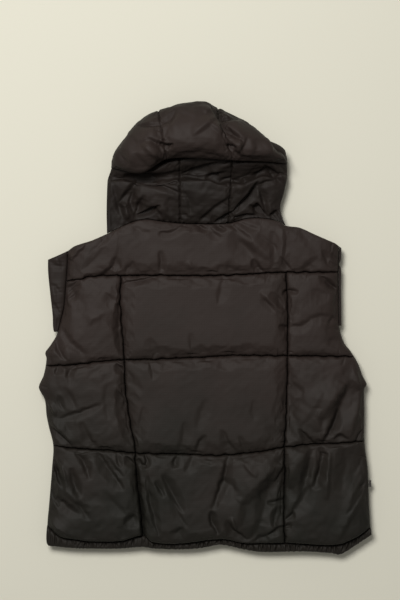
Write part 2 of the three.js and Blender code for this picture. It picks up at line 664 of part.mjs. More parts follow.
function hoodPanel(from, to) {
  const stations = spread(HOOD_COLUMNS).map((u) => mix(from, to, u));
  const nudge = stations.map(() => 0);
  nudge[0] = from > 0 ? SEAM_GAP / 2 : 0;
  nudge[HOOD_COLUMNS] = to < 3 ? -SEAM_GAP / 2 : 0;
  const outerFace = HOOD_ROWS.map((row) => stations.map((station, i) => {
    const [x, y] = hoodPlan(row, station);
    const folds = foldDepth(row.part > 1 ? CROWN_FOLDS : NAPE_FOLDS, x, y) * Math.min(row.dip / 3, 1);
    const height = hoodHeight(row.outer - row.dip * seamPress(station) + folds, row, station);
    return [x + nudge[i], y, height];
  }));
  const innerFace = HOOD_ROWS.map((row) => stations.map((station, i) => {
    const [x, y] = hoodPlan(row, station);
    const sideInset = Math.min(10 * row.part, 2) * (1 - hoodRound(station)) * (station < 1.5 ? 1 : -1);
    const height = hoodHeight(row.inner, row, station);
    return [x + sideInset + nudge[i], y + row.innerShift * foldReach(station), height];
  }));
  return closedWall(outerFace, innerFace);
}

// The hidden layers: lining, face edge and the hood's front, folded under it.
function hoodHiddenFolds() {
  const column = (k) => smoothLine(HIDDEN_FOLDS.map((row) => [row[0], row[k]]));
  const [left, right, top] = [column(1), column(2), column(3)];
  const first = HIDDEN_FOLDS[0][0];
  const last = HIDDEN_FOLDS[HIDDEN_FOLDS.length - 1][0];
  const lines = spread(15).map((v) => mix(first, last, v));
  const underHood = (y) => Math.min(Math.max((y - HOOD_START) / HOOD_START_LENGTH, 0), 1);
  const height = (y, u) => {
    const flattened = mix(HIDDEN_EDGE_HEIGHT, 1, roundedEdge(Math.min(u, 1 - u), HIDDEN_EDGE));
    const share = mix(1, flattened, underHood(y));
    return HOOD_SIDE_HEIGHT + (top(y) - HOOD_SIDE_HEIGHT) * share;
  };
  const face = (z) => lines.map((y) => spread(12).map((u) => [mix(left(y), right(y), u), y, z(y, u)]));
  return closedWall(face(height), face(() => 0), 'lower', HIDDEN_RIM);
}

// ---- zip ----
// One half of the closed zip: half of the chain of teeth, and the tape it is woven into.
function zipHalf(side) {
  const outline = [
    [SEAM_GAP / 2, CHAIN_LOW], [CHAIN_HALF_WIDTH, CHAIN_LOW], [CHAIN_HALF_WIDTH, TAPE_LOW],
    [ZIP_HALF_WIDTH, TAPE_LOW], [ZIP_HALF_WIDTH, TAPE_HIGH], [CHAIN_HALF_WIDTH, TAPE_HIGH],
    [CHAIN_HALF_WIDTH, CHAIN_HIGH], [SEAM_GAP / 2, CHAIN_HIGH],
  ].map(([x, z]) => new THREE.Vector2(side * x, z));
  const depth = ZIP_TOP - ZIP_BOTTOM;
  const geometry = new THREE.ExtrudeGeometry(new THREE.Shape(outline), { depth, bevelEnabled: false });
  return geometry.rotateX(Math.PI / 2).translate(0, ZIP_TOP, 0);
}

const wasm = await Module();
wasm.setup();

function toSolid(geometry) {
  const bare = geometry.clone();
  bare.deleteAttribute('normal');
  bare.deleteAttribute('uv');
  const merged = mergeVertices(bare, 1e-4);
  const vertProperties = new Float32Array(merged.attributes.position.array);
  const triVerts = new Uint32Array(merged.index.array);
  return new wasm.Manifold(new wasm.Mesh({ numProp: 3, vertProperties, triVerts }));
}

function toGeometry(solid) {
  const mesh = solid.getMesh();
  return meshOf([...mesh.vertProperties], [...mesh.triVerts]);
}

// A block between two corners, as a solid.
function block(low, high) {
  const size = low.map((value, axis) => high[axis] - value);
  const middle = low.map((value, axis) => (high[axis] + value) / 2);
  return toSolid(new THREE.BoxGeometry(...size).translate(...middle));
}

// A round bar along X through the pull's hinge.
function hingeBar(radius, halfLength, sides) {
  const bar = new THREE.CylinderGeometry(radius, radius, 2 * halfLength, sides);
  return toSolid(bar.rotateZ(Math.PI / 2).translate(0, HINGE_Y, HINGE_Z));
}

// Two plates held apart by a post past the end of the chain, with two ears and a pin below them.
function zipSlider() {
  const lowPlate = [CHAIN_LOW - PLATE_GAP - PLATE, CHAIN_LOW - PLATE_GAP];
  const highPlate = [CHAIN_HIGH + PLATE_GAP, CHAIN_HIGH + PLATE_GAP + PLATE];
  const wide = PLATE_HALF_WIDTH;
  let body = block([-1.6, POST_START, lowPlate[0]], [1.6, SLIDER_END, highPlate[1]]);
  for (const [low, high] of [lowPlate, highPlate]) {
    body = body.add(block([-wide, SLIDER_START, low], [wide, SLIDER_END, high]));
  }
  for (const side of [-1, 1]) {
    const flange = [side * (wide - FLANGE), side * wide].sort((a, b) => a - b);
    const ear = [side * EAR_INSIDE, side * EAR_OUTSIDE].sort((a, b) => a - b);
    body = body.add(block([flange[0], SLIDER_START, lowPlate[0]], [flange[1], SLIDER_END, TAPE_LOW - 0.4]));
    body = body.add(block([flange[0], SLIDER_START, TAPE_HIGH + 0.4], [flange[1], SLIDER_END, highPlate[1]]));
    body = body.add(block([ear[0], HINGE_Y - 2, 1], [ear[1], HINGE_Y + 2, lowPlate[0] + 0.2]));
  }
  return toGeometry(body.add(hingeBar(PIN_RADIUS, EAR_OUTSIDE - 0.2, 16)));
}

// A flat tab with a round end, on a neck with an eye that turns on the slider's pin.
function zipPull() {
  const paddle = new THREE.Shape();
  const end = HINGE_Y - PULL_LENGTH + PULL_HALF_WIDTH;
  paddle.moveTo(PULL_HALF_WIDTH, HINGE_Y - 6);
  paddle.lineTo(-PULL_HALF_WIDTH, HINGE_Y - 6);
  paddle.lineTo(-PULL_HALF_WIDTH, end);
  paddle.absarc(0, end, PULL_HALF_WIDTH, Math.PI, 2 * Math.PI, false);
  const options = { depth: 2 * PULL_HALF_THICKNESS, bevelEnabled: false, curveSegments: 10 };
  const plate = new THREE.ExtrudeGeometry(paddle, options);
  plate.translate(0, 0, HINGE_Z - PULL_HALF_THICKNESS);
  const neckLow = [-EYE_HALF_WIDTH, HINGE_Y - 6.5, HINGE_Z - PULL_HALF_THICKNESS];
  const neckHigh = [EYE_HALF_WIDTH, HINGE_Y, HINGE_Z + PULL_HALF_THICKNESS];
  const eye = hingeBar(EYE_RADIUS, EYE_HALF_WIDTH, 20).add(block(neckLow, neckHigh));
  const hole = hingeBar(EYE_HOLE_RADIUS, EYE_HALF_WIDTH + 1, 20);
  return toGeometry(eye.add(toSolid(plate)).subtract(hole));
}

// ---- a small blank tab in the right side seam ----
function sideTab() {
  const middle = backRight(TAB_Y) + TAB_SIZE[0] / 2 + SEAM_GAP;
  return new THREE.BoxGeometry(...TAB_SIZE).translate(middle, TAB_Y, BACK_INSIDE);
}

// ---- the whole vest ----
function makeVest() {
  const vest = new THREE.Group();
  vest.position.set(ORIGIN_SHIFT[0], ORIGIN_SHIFT[1], 0);
  const sew = (name, geometry, material) => {
    const piece = new THREE.Mesh(geometry, material);
    piece.name = name;
    vest.add(piece);
  };
  sew('back_yoke', backYoke(), wovenShell(BACK_TONE));
  sew('back_centre', backCentre(), wovenShell(BACK_TONE));
  sew('back_side_left', backSideLeft(), wovenShell(SIDE_TONE));
  sew('back_side_right', backSideRight(), wovenShell(SIDE_TONE));
  sew('hem_back', backHem(), wovenShell(BAND_TONE));
  sew('armhole_band_left_back', leftBand(false), wovenShell(BAND_TONE));
  sew('armhole_band_left_front', leftBand(true), wovenShell(BAND_TONE));
  sew('armhole_band_right_back', rightBand(false), wovenShell(BAND_TONE));
  sew('armhole_band_right_front', rightBand(true), wovenShell(BAND_TONE));
  for (const [name, side] of [['left', -1], ['right', 1]]) {
    sew(`front_${name}`, frontPanel(side), wovenShell(FRONT_TONE));
    sew(`hem_front_${name}`, frontHem(side), wovenShell(BAND_TONE));
    sew(`zip_${name}`, zipHalf(side), zipTape());
  }
  sew('hood_left', hoodPanel(0, 1), wovenShell(HOOD_TONE));
  sew('hood_centre', hoodPanel(1, 2), wovenShell(HOOD_TONE));
  sew('hood_right', hoodPanel(2, 3), wovenShell(HOOD_TONE));
  sew('hood_hidden_folds', hoodHiddenFolds(), wovenShell(FRONT_TONE));
  sew('zip_slider', zipSlider(), blackenedZinc());
  sew('zip_pull', zipPull(), blackenedZinc());
  sew('side_tab', sideTab(), wovenShell(BAND_TONE));
  return vest;
}

export default makeVest();
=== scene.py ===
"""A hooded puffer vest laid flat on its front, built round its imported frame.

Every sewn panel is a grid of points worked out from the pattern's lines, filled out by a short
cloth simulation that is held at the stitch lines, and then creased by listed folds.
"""
import bpy
import numpy as np
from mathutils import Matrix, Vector


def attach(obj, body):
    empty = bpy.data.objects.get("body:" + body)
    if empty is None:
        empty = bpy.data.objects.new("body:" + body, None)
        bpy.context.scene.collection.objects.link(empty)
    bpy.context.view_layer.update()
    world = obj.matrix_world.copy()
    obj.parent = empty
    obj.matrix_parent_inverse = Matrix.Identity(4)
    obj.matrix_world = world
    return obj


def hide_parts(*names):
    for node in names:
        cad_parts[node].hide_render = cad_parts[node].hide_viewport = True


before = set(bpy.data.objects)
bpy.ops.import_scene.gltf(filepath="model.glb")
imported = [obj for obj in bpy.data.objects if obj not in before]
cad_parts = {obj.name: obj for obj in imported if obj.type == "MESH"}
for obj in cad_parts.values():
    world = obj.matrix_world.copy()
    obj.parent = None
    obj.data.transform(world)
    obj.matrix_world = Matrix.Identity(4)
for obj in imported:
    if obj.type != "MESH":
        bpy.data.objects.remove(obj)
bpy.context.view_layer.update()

# ---------------------------------------------------------------- sizes, in millimetres
MM = 0.001
ORIGIN_SHIFT = (-0.34, -0.54)    # from the pattern's zero to the middle of the outline
HALF_GAP = 0.16                  # half the gap between two pieces at a seam
SHELL_WALL = 1.0                 # least thickness of a padded piece
BACK_INSIDE = 20.0               # plain inner face of the back
FRONT_INSIDE = 19.7              # plain inner face of the fronts
EDGE_HEIGHT = 20.8               # outer face of the back at its free edges
STITCH_HEIGHT = 24.5             # outer face of the back under a stitch line
CELL_LOFT = 16.0                 # how far the quilted cells rise over that
YOKE_LOFT = 14.6
CELL_FLATNESS = 22               # how broad the padding's even middle is
CELL_STEEPNESS = 0.26            # and how steep its sides are: less is steeper
EDGE_ROUND = 36.0                # how far in the back's rounded free edges reach
SETTLING_ROUNDS = 8
CLOTH_FRAMES = 20
SHELL_STIFFNESS = 6.0

# Lines across the body: [x, y].
HEM_EDGE = [
    [-276, -387], [-234, -391], [-154, -392], [-111, -389], [-91, -392], [-34, -393], [0, -390],
    [28, -385], [68, -393], [100, -398], [173, -397], [225, -400], [241, -402], [268, -386],
    [297, -367],
]
HEM_SEAM = [
    [-282, -349], [-261, -368], [-234, -374], [-202, -378], [-148, -377], [-109, -368],
    [-93, -379], [-46, -382], [30, -374], [70, -381], [150, -381], [232, -384], [264, -373],
    [295, -354],
]
LOWER_QUILT_LINE = [
    [-276, -207], [-227, -213], [-170, -216], [-120, -221], [-34, -223], [27, -225], [105, -217],
    [143, -210], [195, -205], [241, -203], [290, -199],
]
UPPER_QUILT_LINE = [
    [-290, -67], [-227, -64], [-170, -57], [-80, -54], [-9, -51], [48, -48], [195, -49],
    [280, -50],
]
YOKE_SEAM = [
    [-250, 83], [-220, 88], [-202, 92], [-170, 94], [27, 94], [70, 96], [127, 99], [245, 100],
]
SHOULDERS_AND_NECK = [
    [-282, 121], [-244, 138], [-232, 146], [-202, 156], [-174, 168], [-134, 187], [-106, 194],
    [-75, 190], [-31, 186], [43, 187], [73, 195], [102, 196], [132, 190], [143, 183], [168, 179],
    [195, 167], [218, 157], [232, 151], [244, 142],
]
# Lines along the body: [y, x].
BACK_LEFT_EDGE = [
    [-392, -274], [-381, -281], [-342, -280], [-320, -278], [-285, -275], [-247, -272],
    [-208, -270], [-174, -278], [-154, -282], [-127, -285], [-108, -295], [-101, -295],
    [-83, -287], [-54, -282], [-43, -284], [-30, -275], [-12, -264], [5, -259], [37, -251],
    [71, -248], [110, -245], [140, -244],
]
BACK_RIGHT_EDGE = [
    [-392, 297], [-368, 296], [-342, 294], [-308, 292], [-251, 290], [-201, 284], [-149, 284],
    [-108, 284], [-99, 288], [-83, 280], [-63, 273], [-40, 259], [-26, 248], [-6, 241], [5, 239],
    [69, 238], [107, 238], [145, 239],
]
LEFT_SEAM = [
    [-392, -109], [-365, -110], [-320, -114], [-274, -120], [-233, -123], [-206, -124],
    [-179, -130], [-128, -138], [-101, -141], [-56, -143], [12, -148], [57, -150], [92, -149],
    [200, -149],
]
RIGHT_SEAM = [
    [-392, 143], [-342, 140], [-251, 142], [-211, 141], [-183, 143], [-138, 145], [-49, 147],
    [35, 147], [94, 145], [200, 145],
]


# ---------------------------------------------------------------- curves and grids
def smooth_line(table):
    """Cubic line through [position, value] rows: between two rows a Hermite piece, whose slope at
    each row is the slope from the row before it to the row after it."""
    position, value = np.array(table, float).T
    last = len(position) - 1
    before = np.maximum(np.arange(last + 1) - 1, 0)
    after = np.minimum(np.arange(last + 1) + 1, last)
    slope = (value[after] - value[before]) / (position[after] - position[before])

    def read(at):
        at = np.clip(at, position[0], position[-1])
        i = np.clip(np.searchsorted(position, at, side="right") - 1, 0, last - 1)
        span = position[i + 1] - position[i]
        t = (at - position[i]) / span
        ease = t * t * (3 - 2 * t)
        pull = t * (1 - t) ** 2 * slope[i] + t * t * (t - 1) * slope[i + 1]
        return value[i] * (1 - ease) + value[i + 1] * ease + pull * span

    return read


def resample(grid, rows, columns):
    """Reads a grid of points at fractional rows and columns by cubic (Catmull-Rom) weights, first
    down the rows and then along the columns."""
    for axis, places in ((0, rows), (1, columns)):
        count = grid.shape[axis]
        i = np.clip(np.floor(places).astype(int), 0, count - 2)
        t = places - i
        near = [np.clip(i + k, 0, count - 1) for k in (-1, 0, 1, 2)]
        weights = [
            -0.5 * t + t ** 2 - 0.5 * t ** 3,
            1 - 2.5 * t ** 2 + 1.5 * t ** 3,
            0.5 * t + 2 * t ** 2 - 1.5 * t ** 3,
            -0.5 * t ** 2 + 0.5 * t ** 3,
        ]
        shape = [1] * grid.ndim
        shape[axis] = -1
        grid = sum(np.take(grid, n, axis) * w.reshape(shape) for n, w in zip(near, weights))
    return grid


def mix(a, b, t):
    """The value a share t of the way from a to b."""
    return a + (b - a) * t


def settle(find_x, find_y, shape):
    """Grids x and y, each of which is read off lines at the other: a few rounds settle the two."""
    x = np.zeros(shape)
    y = np.zeros(shape)
    for _ in range(SETTLING_ROUNDS):
        x = find_x(y)
        y = find_y(x)
    return x, y


def from_ends(count):
    """How many steps each point of a row lies from the row's nearer end."""
    return np.minimum(np.arange(count), np.arange(count)[::-1])


def reader(values, rows, columns):
    """A function that reads a coarse grid of values at the places of a finer one. rows and columns
    are the coarse grid's own places."""
    def read(fine_rows, fine_columns):
        down = np.interp(fine_rows, rows, np.arange(len(rows)))
        over = np.interp(fine_columns, columns, np.arange(len(columns)))
        return resample(values, down, over)

    return read


def puff(t):
    """Rise of padding between two stitch lines: 0 on each, nearly 1 over a broad middle, and very
    steep beside them, where the full cells close over the thread."""
    return np.maximum(1 - np.abs(2 * t - 1) ** CELL_FLATNESS, 0) ** CELL_STEEPNESS


def rounded_edge(distance, reach):
    """Quarter of an ellipse: 0 at a free edge, 1 from reach inwards."""
    t = np.clip(distance / reach, 0, 1)
    return np.sqrt(1 - (1 - t) ** 2)


# ---------------------------------------------------------------- meshes
def grid_faces(rows, columns, start=0, flip=False):
    """The quads of a grid of points stored row by row."""
    index = start + np.arange(rows * columns).reshape(rows, columns)
    quads = np.stack([index[:-1, :-1], index[:-1, 1:], index[1:, 1:], index[1:, :-1]], -1)
    quads = quads.reshape(-1, 4)
    return quads[:, ::-1] if flip else quads


def edge_loop(rows, columns):
    """Indices round a grid's edge, counter-clockwise where rows run up and columns right."""
    index = np.arange(rows * columns).reshape(rows, columns)
    return np.concatenate([index[0, :-1], index[:-1, -1], index[-1, :0:-1], index[:0:-1, 0]])


def make_object(name, points, faces, smooth=True):
    """A mesh object at the origin from points in pattern millimetres and a list of faces."""
    points = (points + np.array([*ORIGIN_SHIFT, 0.0])) * MM
    mesh = bpy.data.meshes.new(name)
    mesh.from_pydata(points.tolist(), [], [list(map(int, face)) for face in faces])
    mesh.update()
    if smooth:
        mesh.shade_smooth()
    piece = bpy.data.objects.new(name, mesh)
    bpy.context.scene.collection.objects.link(piece)
    return piece


def closed_panel(name, top, bottom):
    """A closed wall: the outer grid over the inner grid, joined round their edges by quads."""
    rows, columns = top.shape[:2]
    count = rows * columns
    loop = edge_loop(rows, columns)
    after = np.roll(loop, -1)
    rim = np.stack([loop, loop + count, after + count, after], -1)
    faces = np.concatenate([
        grid_faces(rows, columns),
        grid_faces(rows, columns, count, flip=True),
        rim,
    ])
    points = np.concatenate([top.reshape(-1, 3), bottom.reshape(-1, 3)])
    return make_object(name, points, faces)


def plain_backed_panel(name, face, level):
    """A closed wall whose hidden face is one flat polygon at a level, under or over the shown
    grid; the rim joins the two straight up and down."""
    rows, columns = face.shape[:2]
    count = rows * columns
    over = face[..., 2].mean() > level
    loop = edge_loop(rows, columns)
    foot = face.reshape(-1, 3)[loop].copy()
    foot[:, 2] = level
    below = count + np.arange(len(loop))
    after = np.roll(np.arange(len(loop)), -1)
    rim = np.stack([loop, below, below[after], loop[after]], -1)
    faces = grid_faces(rows, columns, flip=not over).tolist()
    faces += (rim if over else rim[:, ::-1]).tolist()
    faces.append((below[::-1] if over else below).tolist())
    return make_object(name, np.concatenate([face.reshape(-1, 3), foot]), faces)


# ---------------------------------------------------------------- filling out by simulation
def fill_out(name, points, held, pressure, ease, cap):
    """Blows a sheet out with Blender's cloth, held at its stitch lines, and returns how far each
    point has moved, cap at most. ease is how much more cloth than span there is: the spare cloth
    puckers along the stitching."""
    rows, columns = points.shape[:2]
    sheet = make_object(name, points.reshape(-1, 3), grid_faces(rows, columns))
    group = sheet.vertex_groups.new(name="stitched")
    group.add(np.flatnonzero(held.ravel()).tolist(), 1.0, "REPLACE")
    cloth = sheet.modifiers.new("cloth", "CLOTH")
    settings = cloth.settings
    settings.quality = 5
    settings.mass = 0.15
    settings.tension_stiffness = SHELL_STIFFNESS
    settings.compression_stiffness = SHELL_STIFFNESS
    settings.shear_stiffness = SHELL_STIFFNESS * 0.4
    settings.bending_stiffness = 0.35
    settings.vertex_group_mass = group.name
    settings.shrink_min = -ease
    settings.use_pressure = True
    settings.uniform_pressure_force = pressure
    settings.effector_weights.gravity = 0
    cloth.collision_settings.use_collision = False
    cloth.point_cache.frame_start = 1
    cloth.point_cache.frame_end = CLOTH_FRAMES
    scene = bpy.context.scene
    for number in range(1, CLOTH_FRAMES + 1):
        scene.frame_set(number)
    settled = sheet.evaluated_get(bpy.context.evaluated_depsgraph_get())
    flat = np.empty(rows * columns * 3)
    settled.data.vertices.foreach_get("co", flat)
    scene.frame_set(1)
    mesh = sheet.data
    bpy.data.objects.remove(sheet)
    bpy.data.meshes.remove(mesh)
    moved = flat.reshape(rows, columns, 3) / MM - np.array([*ORIGIN_SHIFT, 0.0]) - points
    distance = np.linalg.norm(moved, axis=-1, keepdims=True)
    return moved * np.minimum(cap / np.maximum(distance, 1e-9), 1)


# ---------------------------------------------------------------- folds, tucks and unevenness
FOLD_EDGE = 0.012                # how rounded a fold's crease and its facets' edges are
BROAD = 2.4                      # how much wider a fold's gentle side is than its steep one
FOLD_DEPTH = 1.3                 # scales the depths of all the listed folds
TUCK_PITCH = 15.0                # mean way from tuck to tuck along a stitch line


def noise(x, y, size, seed):
    """Smooth unevenness from about -1 to 1: the sum of nine plane waves of random heading and
    phase, whose wavelengths lie about size."""
    rng = np.random.default_rng(seed)
    heading = rng.uniform(0, 2 * np.pi, 9)
    wave = 2 * np.pi / (size * rng.uniform(0.7, 1.5, 9))
    phase = rng.uniform(0, 2 * np.pi, 9)
    waves = zip(heading, wave, phase)
    return sum(np.sin((x * np.cos(h) + y * np.sin(h)) * w + p) for h, w, p in waves) / 3.6


def crisp(x, y, size, seed):
    """The broken-up face of crisp cloth, about -1 to 1: six sets of straight ridges and troughs at
    random headings, each a triangle wave, and each showing only where its own slow unevenness is
    high. Their crossings leave flat facets."""
    rng = np.random.default_rng(seed)
    total = np.zeros_like(x)
    for number in range(6):
        heading = rng.uniform(0, np.pi)
        length = size * rng.uniform(0.7, 1.5)
        bend = 0.12 * size * noise(x, y, 1.6 * size, seed + 10 * number + 1)
        way = (x * np.cos(heading) + y * np.sin(heading) + bend) / length + rng.uniform()
        ridges = 4 * np.abs(way - np.floor(way) - 0.5) - 1
        shown = np.clip(noise(x, y, 1.3 * size, seed + 10 * number + 2) + 0.1, 0, 1)
        total += ridges * shown
    return total


def fold_relief(x, y, table):
    """Sum of listed folds, each along two straight stretches through three points.

    Crisp cloth breaks into flat facets, so a fold is a ridge (or a trough, where depth is
    negative) like an uneven roof: from its sharp crease the cloth runs back straight over width
    on its steep side, which faces down the body and to the right, and over BROAD times that on
    the other. It narrows and fades at both ends.
    """
    total = np.zeros_like(x)
    for x0, y0, x1, y1, x2, y2, width, depth in table:
        best = np.full_like(x, np.inf)
        side = np.zeros_like(x)
        place = np.zeros_like(x)
        for ax, ay, bx, by, begin in ((x0, y0, x1, y1, 0.0), (x1, y1, x2, y2, 0.5)):
            dx, dy = bx - ax, by - ay
            length = np.hypot(dx, dy)
            t = np.clip(((x - ax) * dx + (y - ay) * dy) / length ** 2, 0, 1)
            off = np.hypot(x - ax - t * dx, y - ay - t * dy)
            nearer = off < best
            best = np.where(nearer, off, best)
            side = np.where(nearer, ((x - ax) * dy - (y - ay) * dx) / length, side)
            place = np.where(nearer, begin + t / 2, place)
        down_side = np.sign(0.5 * (y2 - y0) + 0.87 * (x2 - x0))
        fade = np.sin(np.pi * np.clip(place, 0, 1)) ** 0.7
        local = width * np.where(side * down_side * depth < 0, BROAD, 1.0)
        away = 1 - np.sqrt((best / (local * (0.35 + 0.65 * fade))) ** 2 + FOLD_EDGE)
        total += depth * fade * (away + np.sqrt(away ** 2 + FOLD_EDGE)) / 2
    return total


def tucks(line, start, stop, seed, upright=False):
    """Rows for fold_relief: short sharp tucks that the tight thread pulls across a stitch line,
    each with its own place, length, heading and depth."""
    rng = np.random.default_rng(seed)
    rows = []
    at = start + rng.uniform(4, TUCK_PITCH)
    while at < stop - 4:
        level = float(line(at))
        short, long = rng.uniform(1.5, 4.0), rng.choice((4.0, 6.0, 15.0)) * rng.uniform(0.7, 1.3)
        turn = rng.uniform(-0.6, 0.6)
        if rng.random() < 0.5:
            short, long = long, short
        low = (at - turn * short, level - short)
        high = (at + turn * long, level + long)
        width, depth = rng.uniform(1.1, 1.9), -rng.uniform(1.0, 2.6)
        points = (*low, at, level, *high)
        if upright:
            points = (low[1], low[0], level, at, high[1], high[0])
        rows.append((*points, width, depth))
        at += rng.uniform(0.35, 1.65) * TUCK_PITCH
    return rows


def groove(distance, width, depth):
    """The narrow dent that a taut line of stitches pulls: a bell, in depth and half-width."""
    return -depth * np.exp(-(distance / width) ** 2)


def push_out(points, amount):
    """Moves a grid of points along its own normals, which are cross products of the differences
    between neighbours."""
    down = np.gradient(points, axis=0)
    along = np.gradient(points, axis=1)
    normal = np.cross(along, down)
    normal /= np.maximum(np.linalg.norm(normal, axis=-1, keepdims=True), 1e-9)
    return points + normal * amount[..., None]


def inward_fade(rows, columns, margin):
    """0 on a grid's edge, 1 from so many cells inwards."""
    nearest = np.minimum(from_ends(rows)[:, None], from_ends(columns)[None, :])
    return np.clip(nearest / margin, 0, 1)


# ---------------------------------------------------------------- the back
BACK_SIDES = [smooth_line(table) for table in (
    BACK_LEFT_EDGE, LEFT_SEAM, RIGHT_SEAM, BACK_RIGHT_EDGE)]
BACK_LEVELS = [smooth_line(table) for table in (
    HEM_SEAM, LOWER_QUILT_LINE, UPPER_QUILT_LINE, YOKE_SEAM, SHOULDERS_AND_NECK)]
HEM_LEVELS = [smooth_line(HEM_EDGE), smooth_line(HEM_SEAM)]
LOWER_GAPE = -232.0              # under this y the left seam gapes
THREAD_GROOVE = 1.2, 1.6         # half-width and depth of the groove that a stitch line pulls
STITCH_WANDER = 0.8              # how far a stitch line strays from its place
BACK_PRESSURE, BACK_EASE = 0.5, 0.006
BACK_CAP = 4.0                   # how far the simulation may move a point
CLOSENESS = 0.7                  # 0 spaces a grid evenly, 1 crowds it at the stitch lines
PANEL_STEPS = [88, 180, 88]      # cells across the left, centre and right panels
LEVEL_STEPS = [104, 104, 98, 66]  # and up the three quilted rows and the yoke
CLOTH_PANEL_STEPS = [28, 56, 28]  # and those of the coarser sheet that is simulated
CLOTH_LEVEL_STEPS = [31, 31, 30, 20]

# How crumpled each cell is: left, centre and right, from the lowest row up to the yoke.
CRISPNESS = np.array([[0.6, 0.4, 0.45], [0.5, 0.2, 0.45], [0.4, 0.12, 0.25], [0.3, 0.3, 0.3]])

# Folds in the back, each through three points: x, y three times, then width and depth.
LEFT_PANEL_FOLDS = [
    # lower cell
    [-230, -218, -212, -242, -204, -268, 5, -7], [-190, -218, -172, -246, -142, -286, 7, -8],
    [-176, -222, -160, -246, -144, -262, 4, -5], [-155, -220, -153, -236, -148, -246, 4, -4],
    [-142, -226, -130, -236, -122, -246, 5, -6], [-270, -226, -264, -250, -252, -276, 6, -9],
    [-266, -228, -251, -252, -242, -280, 5, 5], [-238, -246, -232, -276, -222, -300, 6, -7],
    [-224, -298, -216, -312, -202, -318, 4, -3], [-266, -268, -236, -296, -206, -318, 6, 4],
    [-262, -296, -244, -314, -220, -330, 7, -7], [-228, -306, -214, -322, -202, -338, 5, -5],
    [-272, -284, -268, -300, -258, -316, 4, -4], [-176, -290, -158, -312, -138, -330, 8, -3],
    [-144, -348, -131, -336, -120, -330, 9, -6], [-278, -350, -268, -363, -254, -370, 5, -5],
    [-278, -334, -262, -354, -240, -366, 6, 4], [-268, -240, -262, -262, -248, -290, 4, -5],
    # middle cell
    [-282, -128, -270, -142, -264, -156, 4, 5], [-280, -160, -262, -175, -232, -204, 6, 5],
    [-277, -172, -256, -187, -232, -212, 5, -5], [-258, -159, -224, -149, -180, -132, 5, -5],
    [-218, -165, -208, -188, -192, -210, 6, -4], [-248, -104, -236, -124, -224, -144, 6, -3.5],
    [-262, -118, -256, -134, -248, -146, 4, -3], [-238, -60, -242, -80, -238, -100, 6, -3],
    [-224, -64, -236, -72, -246, -88, 5, -3.5], [-258, -62, -262, -74, -264, -84, 5, -4],
    [-156, -108, -148, -122, -138, -136, 5, -6], [-158, -62, -149, -71, -142, -82, 5, -6],
    [-156, -128, -149, -150, -134, -178, 10, -5], [-172, -92, -175, -126, -172, -162, 8, -2.2],
    [-152, -160, -140, -184, -128, -208, 8, -4], [-141, -64, -135, -120, -126, -200, 5, -6],
    # upper cell
    [-252, 69, -237, 75, -220, 86, 5, -5], [-248, 57, -236, 67, -222, 78, 5, -4],
    [-242, 48, -233, 57, -224, 67, 4, -3.5], [-257, 6, -238, -24, -208, -47, 6, -4.5],
    [-264, -14, -260, -38, -244, -57, 6, -6], [-254, -36, -248, -48, -238, -58, 5, 3],
    [-153, 40, -153, 0, -147, -50, 11, -7], [-160, 43, -154, 41, -148, 42, 4, -5],
    [-206, 8, -196, 17, -176, 28, 7, 2.2], [-176, 62, -166, 52, -154, 48, 8, -3],
]
CENTRE_PANEL_FOLDS = [
    # lower cell
    [-119, -230, -112, -240, -103, -245, 4, -6], [-105, -221, -103, -234, -106, -247, 4, -5],
    [-76, -258, -62, -286, -38, -326, 7, -7], [-88, -270, -80, -284, -73, -298, 5, -5],
    [-104, -262, -96, -310, -82, -366, 6, -6], [-60, -300, -46, -330, -30, -352, 5, -3],
    [-46, -222, -55, -236, -54, -248, 4, -4], [-20, -224, -26, -238, -35, -256, 7, -4],
    [-62, -362, -48, -359, -37, -351, 6, -4], [42, -222, 34, -262, 12, -322, 6, -8],
    [11, -322, 11, -340, 24, -364, 5, -8], [28, -266, 45, -274, 58, -290, 9, -4],
    [40, -338, 50, -357, 78, -376, 6, -8], [46, -332, 52, -346, 57, -358, 4, 5],
    [132, -238, 96, -270, 60, -308, 20, 8], [65, -298, 58, -322, 56, -352, 15, 5],
    [136, -246, 111, -290, 98, -348, 20, -8], [100, -336, 92, -358, 78, -377, 12, -5],
    [110, -309, 126, -306, 146, -301, 4, -6], [130, -312, 124, -332, 122, -354, 9, -6],
    [112, -366, 126, -356, 143, -350, 5, -6], [138, -234, 134, -250, 120, -270, 4, 4],
    [84, -378, 100, -369, 120, -363, 6, -4], [68, -238, 80, -252, 92, -262, 5, 2.5],
    # middle cell
    [0, -188, -10, -202, -17, -222, 5, -5], [-37, -165, -38, -190, -46, -218, 7, -2.5],
    [30, -178, 40, -200, 57, -222, 5, -3.5], [60, -190, 66, -205, 71, -222, 4, -3],
    [-98, -56, -94, -74, -90, -90, 6, -3], [4, -124, -8, -150, -14, -180, 8, -1.8],
    [86, -126, 84, -146, 89, -164, 6, -1.4], [-108, -138, -112, -160, -117, -184, 7, -2],
    [130, -118, 124, -148, 128, -172, 7, -1.6], [124, -163, 134, -174, 143, -184, 5, 2],
    # upper cell
    [-149, 79, -120, 84, -82, 92, 4, -4], [34, 92, 29, 72, 23, 42, 7, -3],
    [96, 64, 113, 52, 138, 26, 7, 4], [100, 55, 112, 44, 126, 28, 5, -2.5],
    [116, 64, 128, 54, 141, 34, 7, -4], [136, 61, 143, 66, 150, 68, 4, -6],
    [130, 5, 141, 3, 150, 3, 5, -6], [-97, -16, -90, -34, -76, -48, 8, -2.2],
    [-26, -8, -24, -32, -17, -49, 5, -2.2], [46, -32, 50, -42, 52, -50, 4, -3],
]
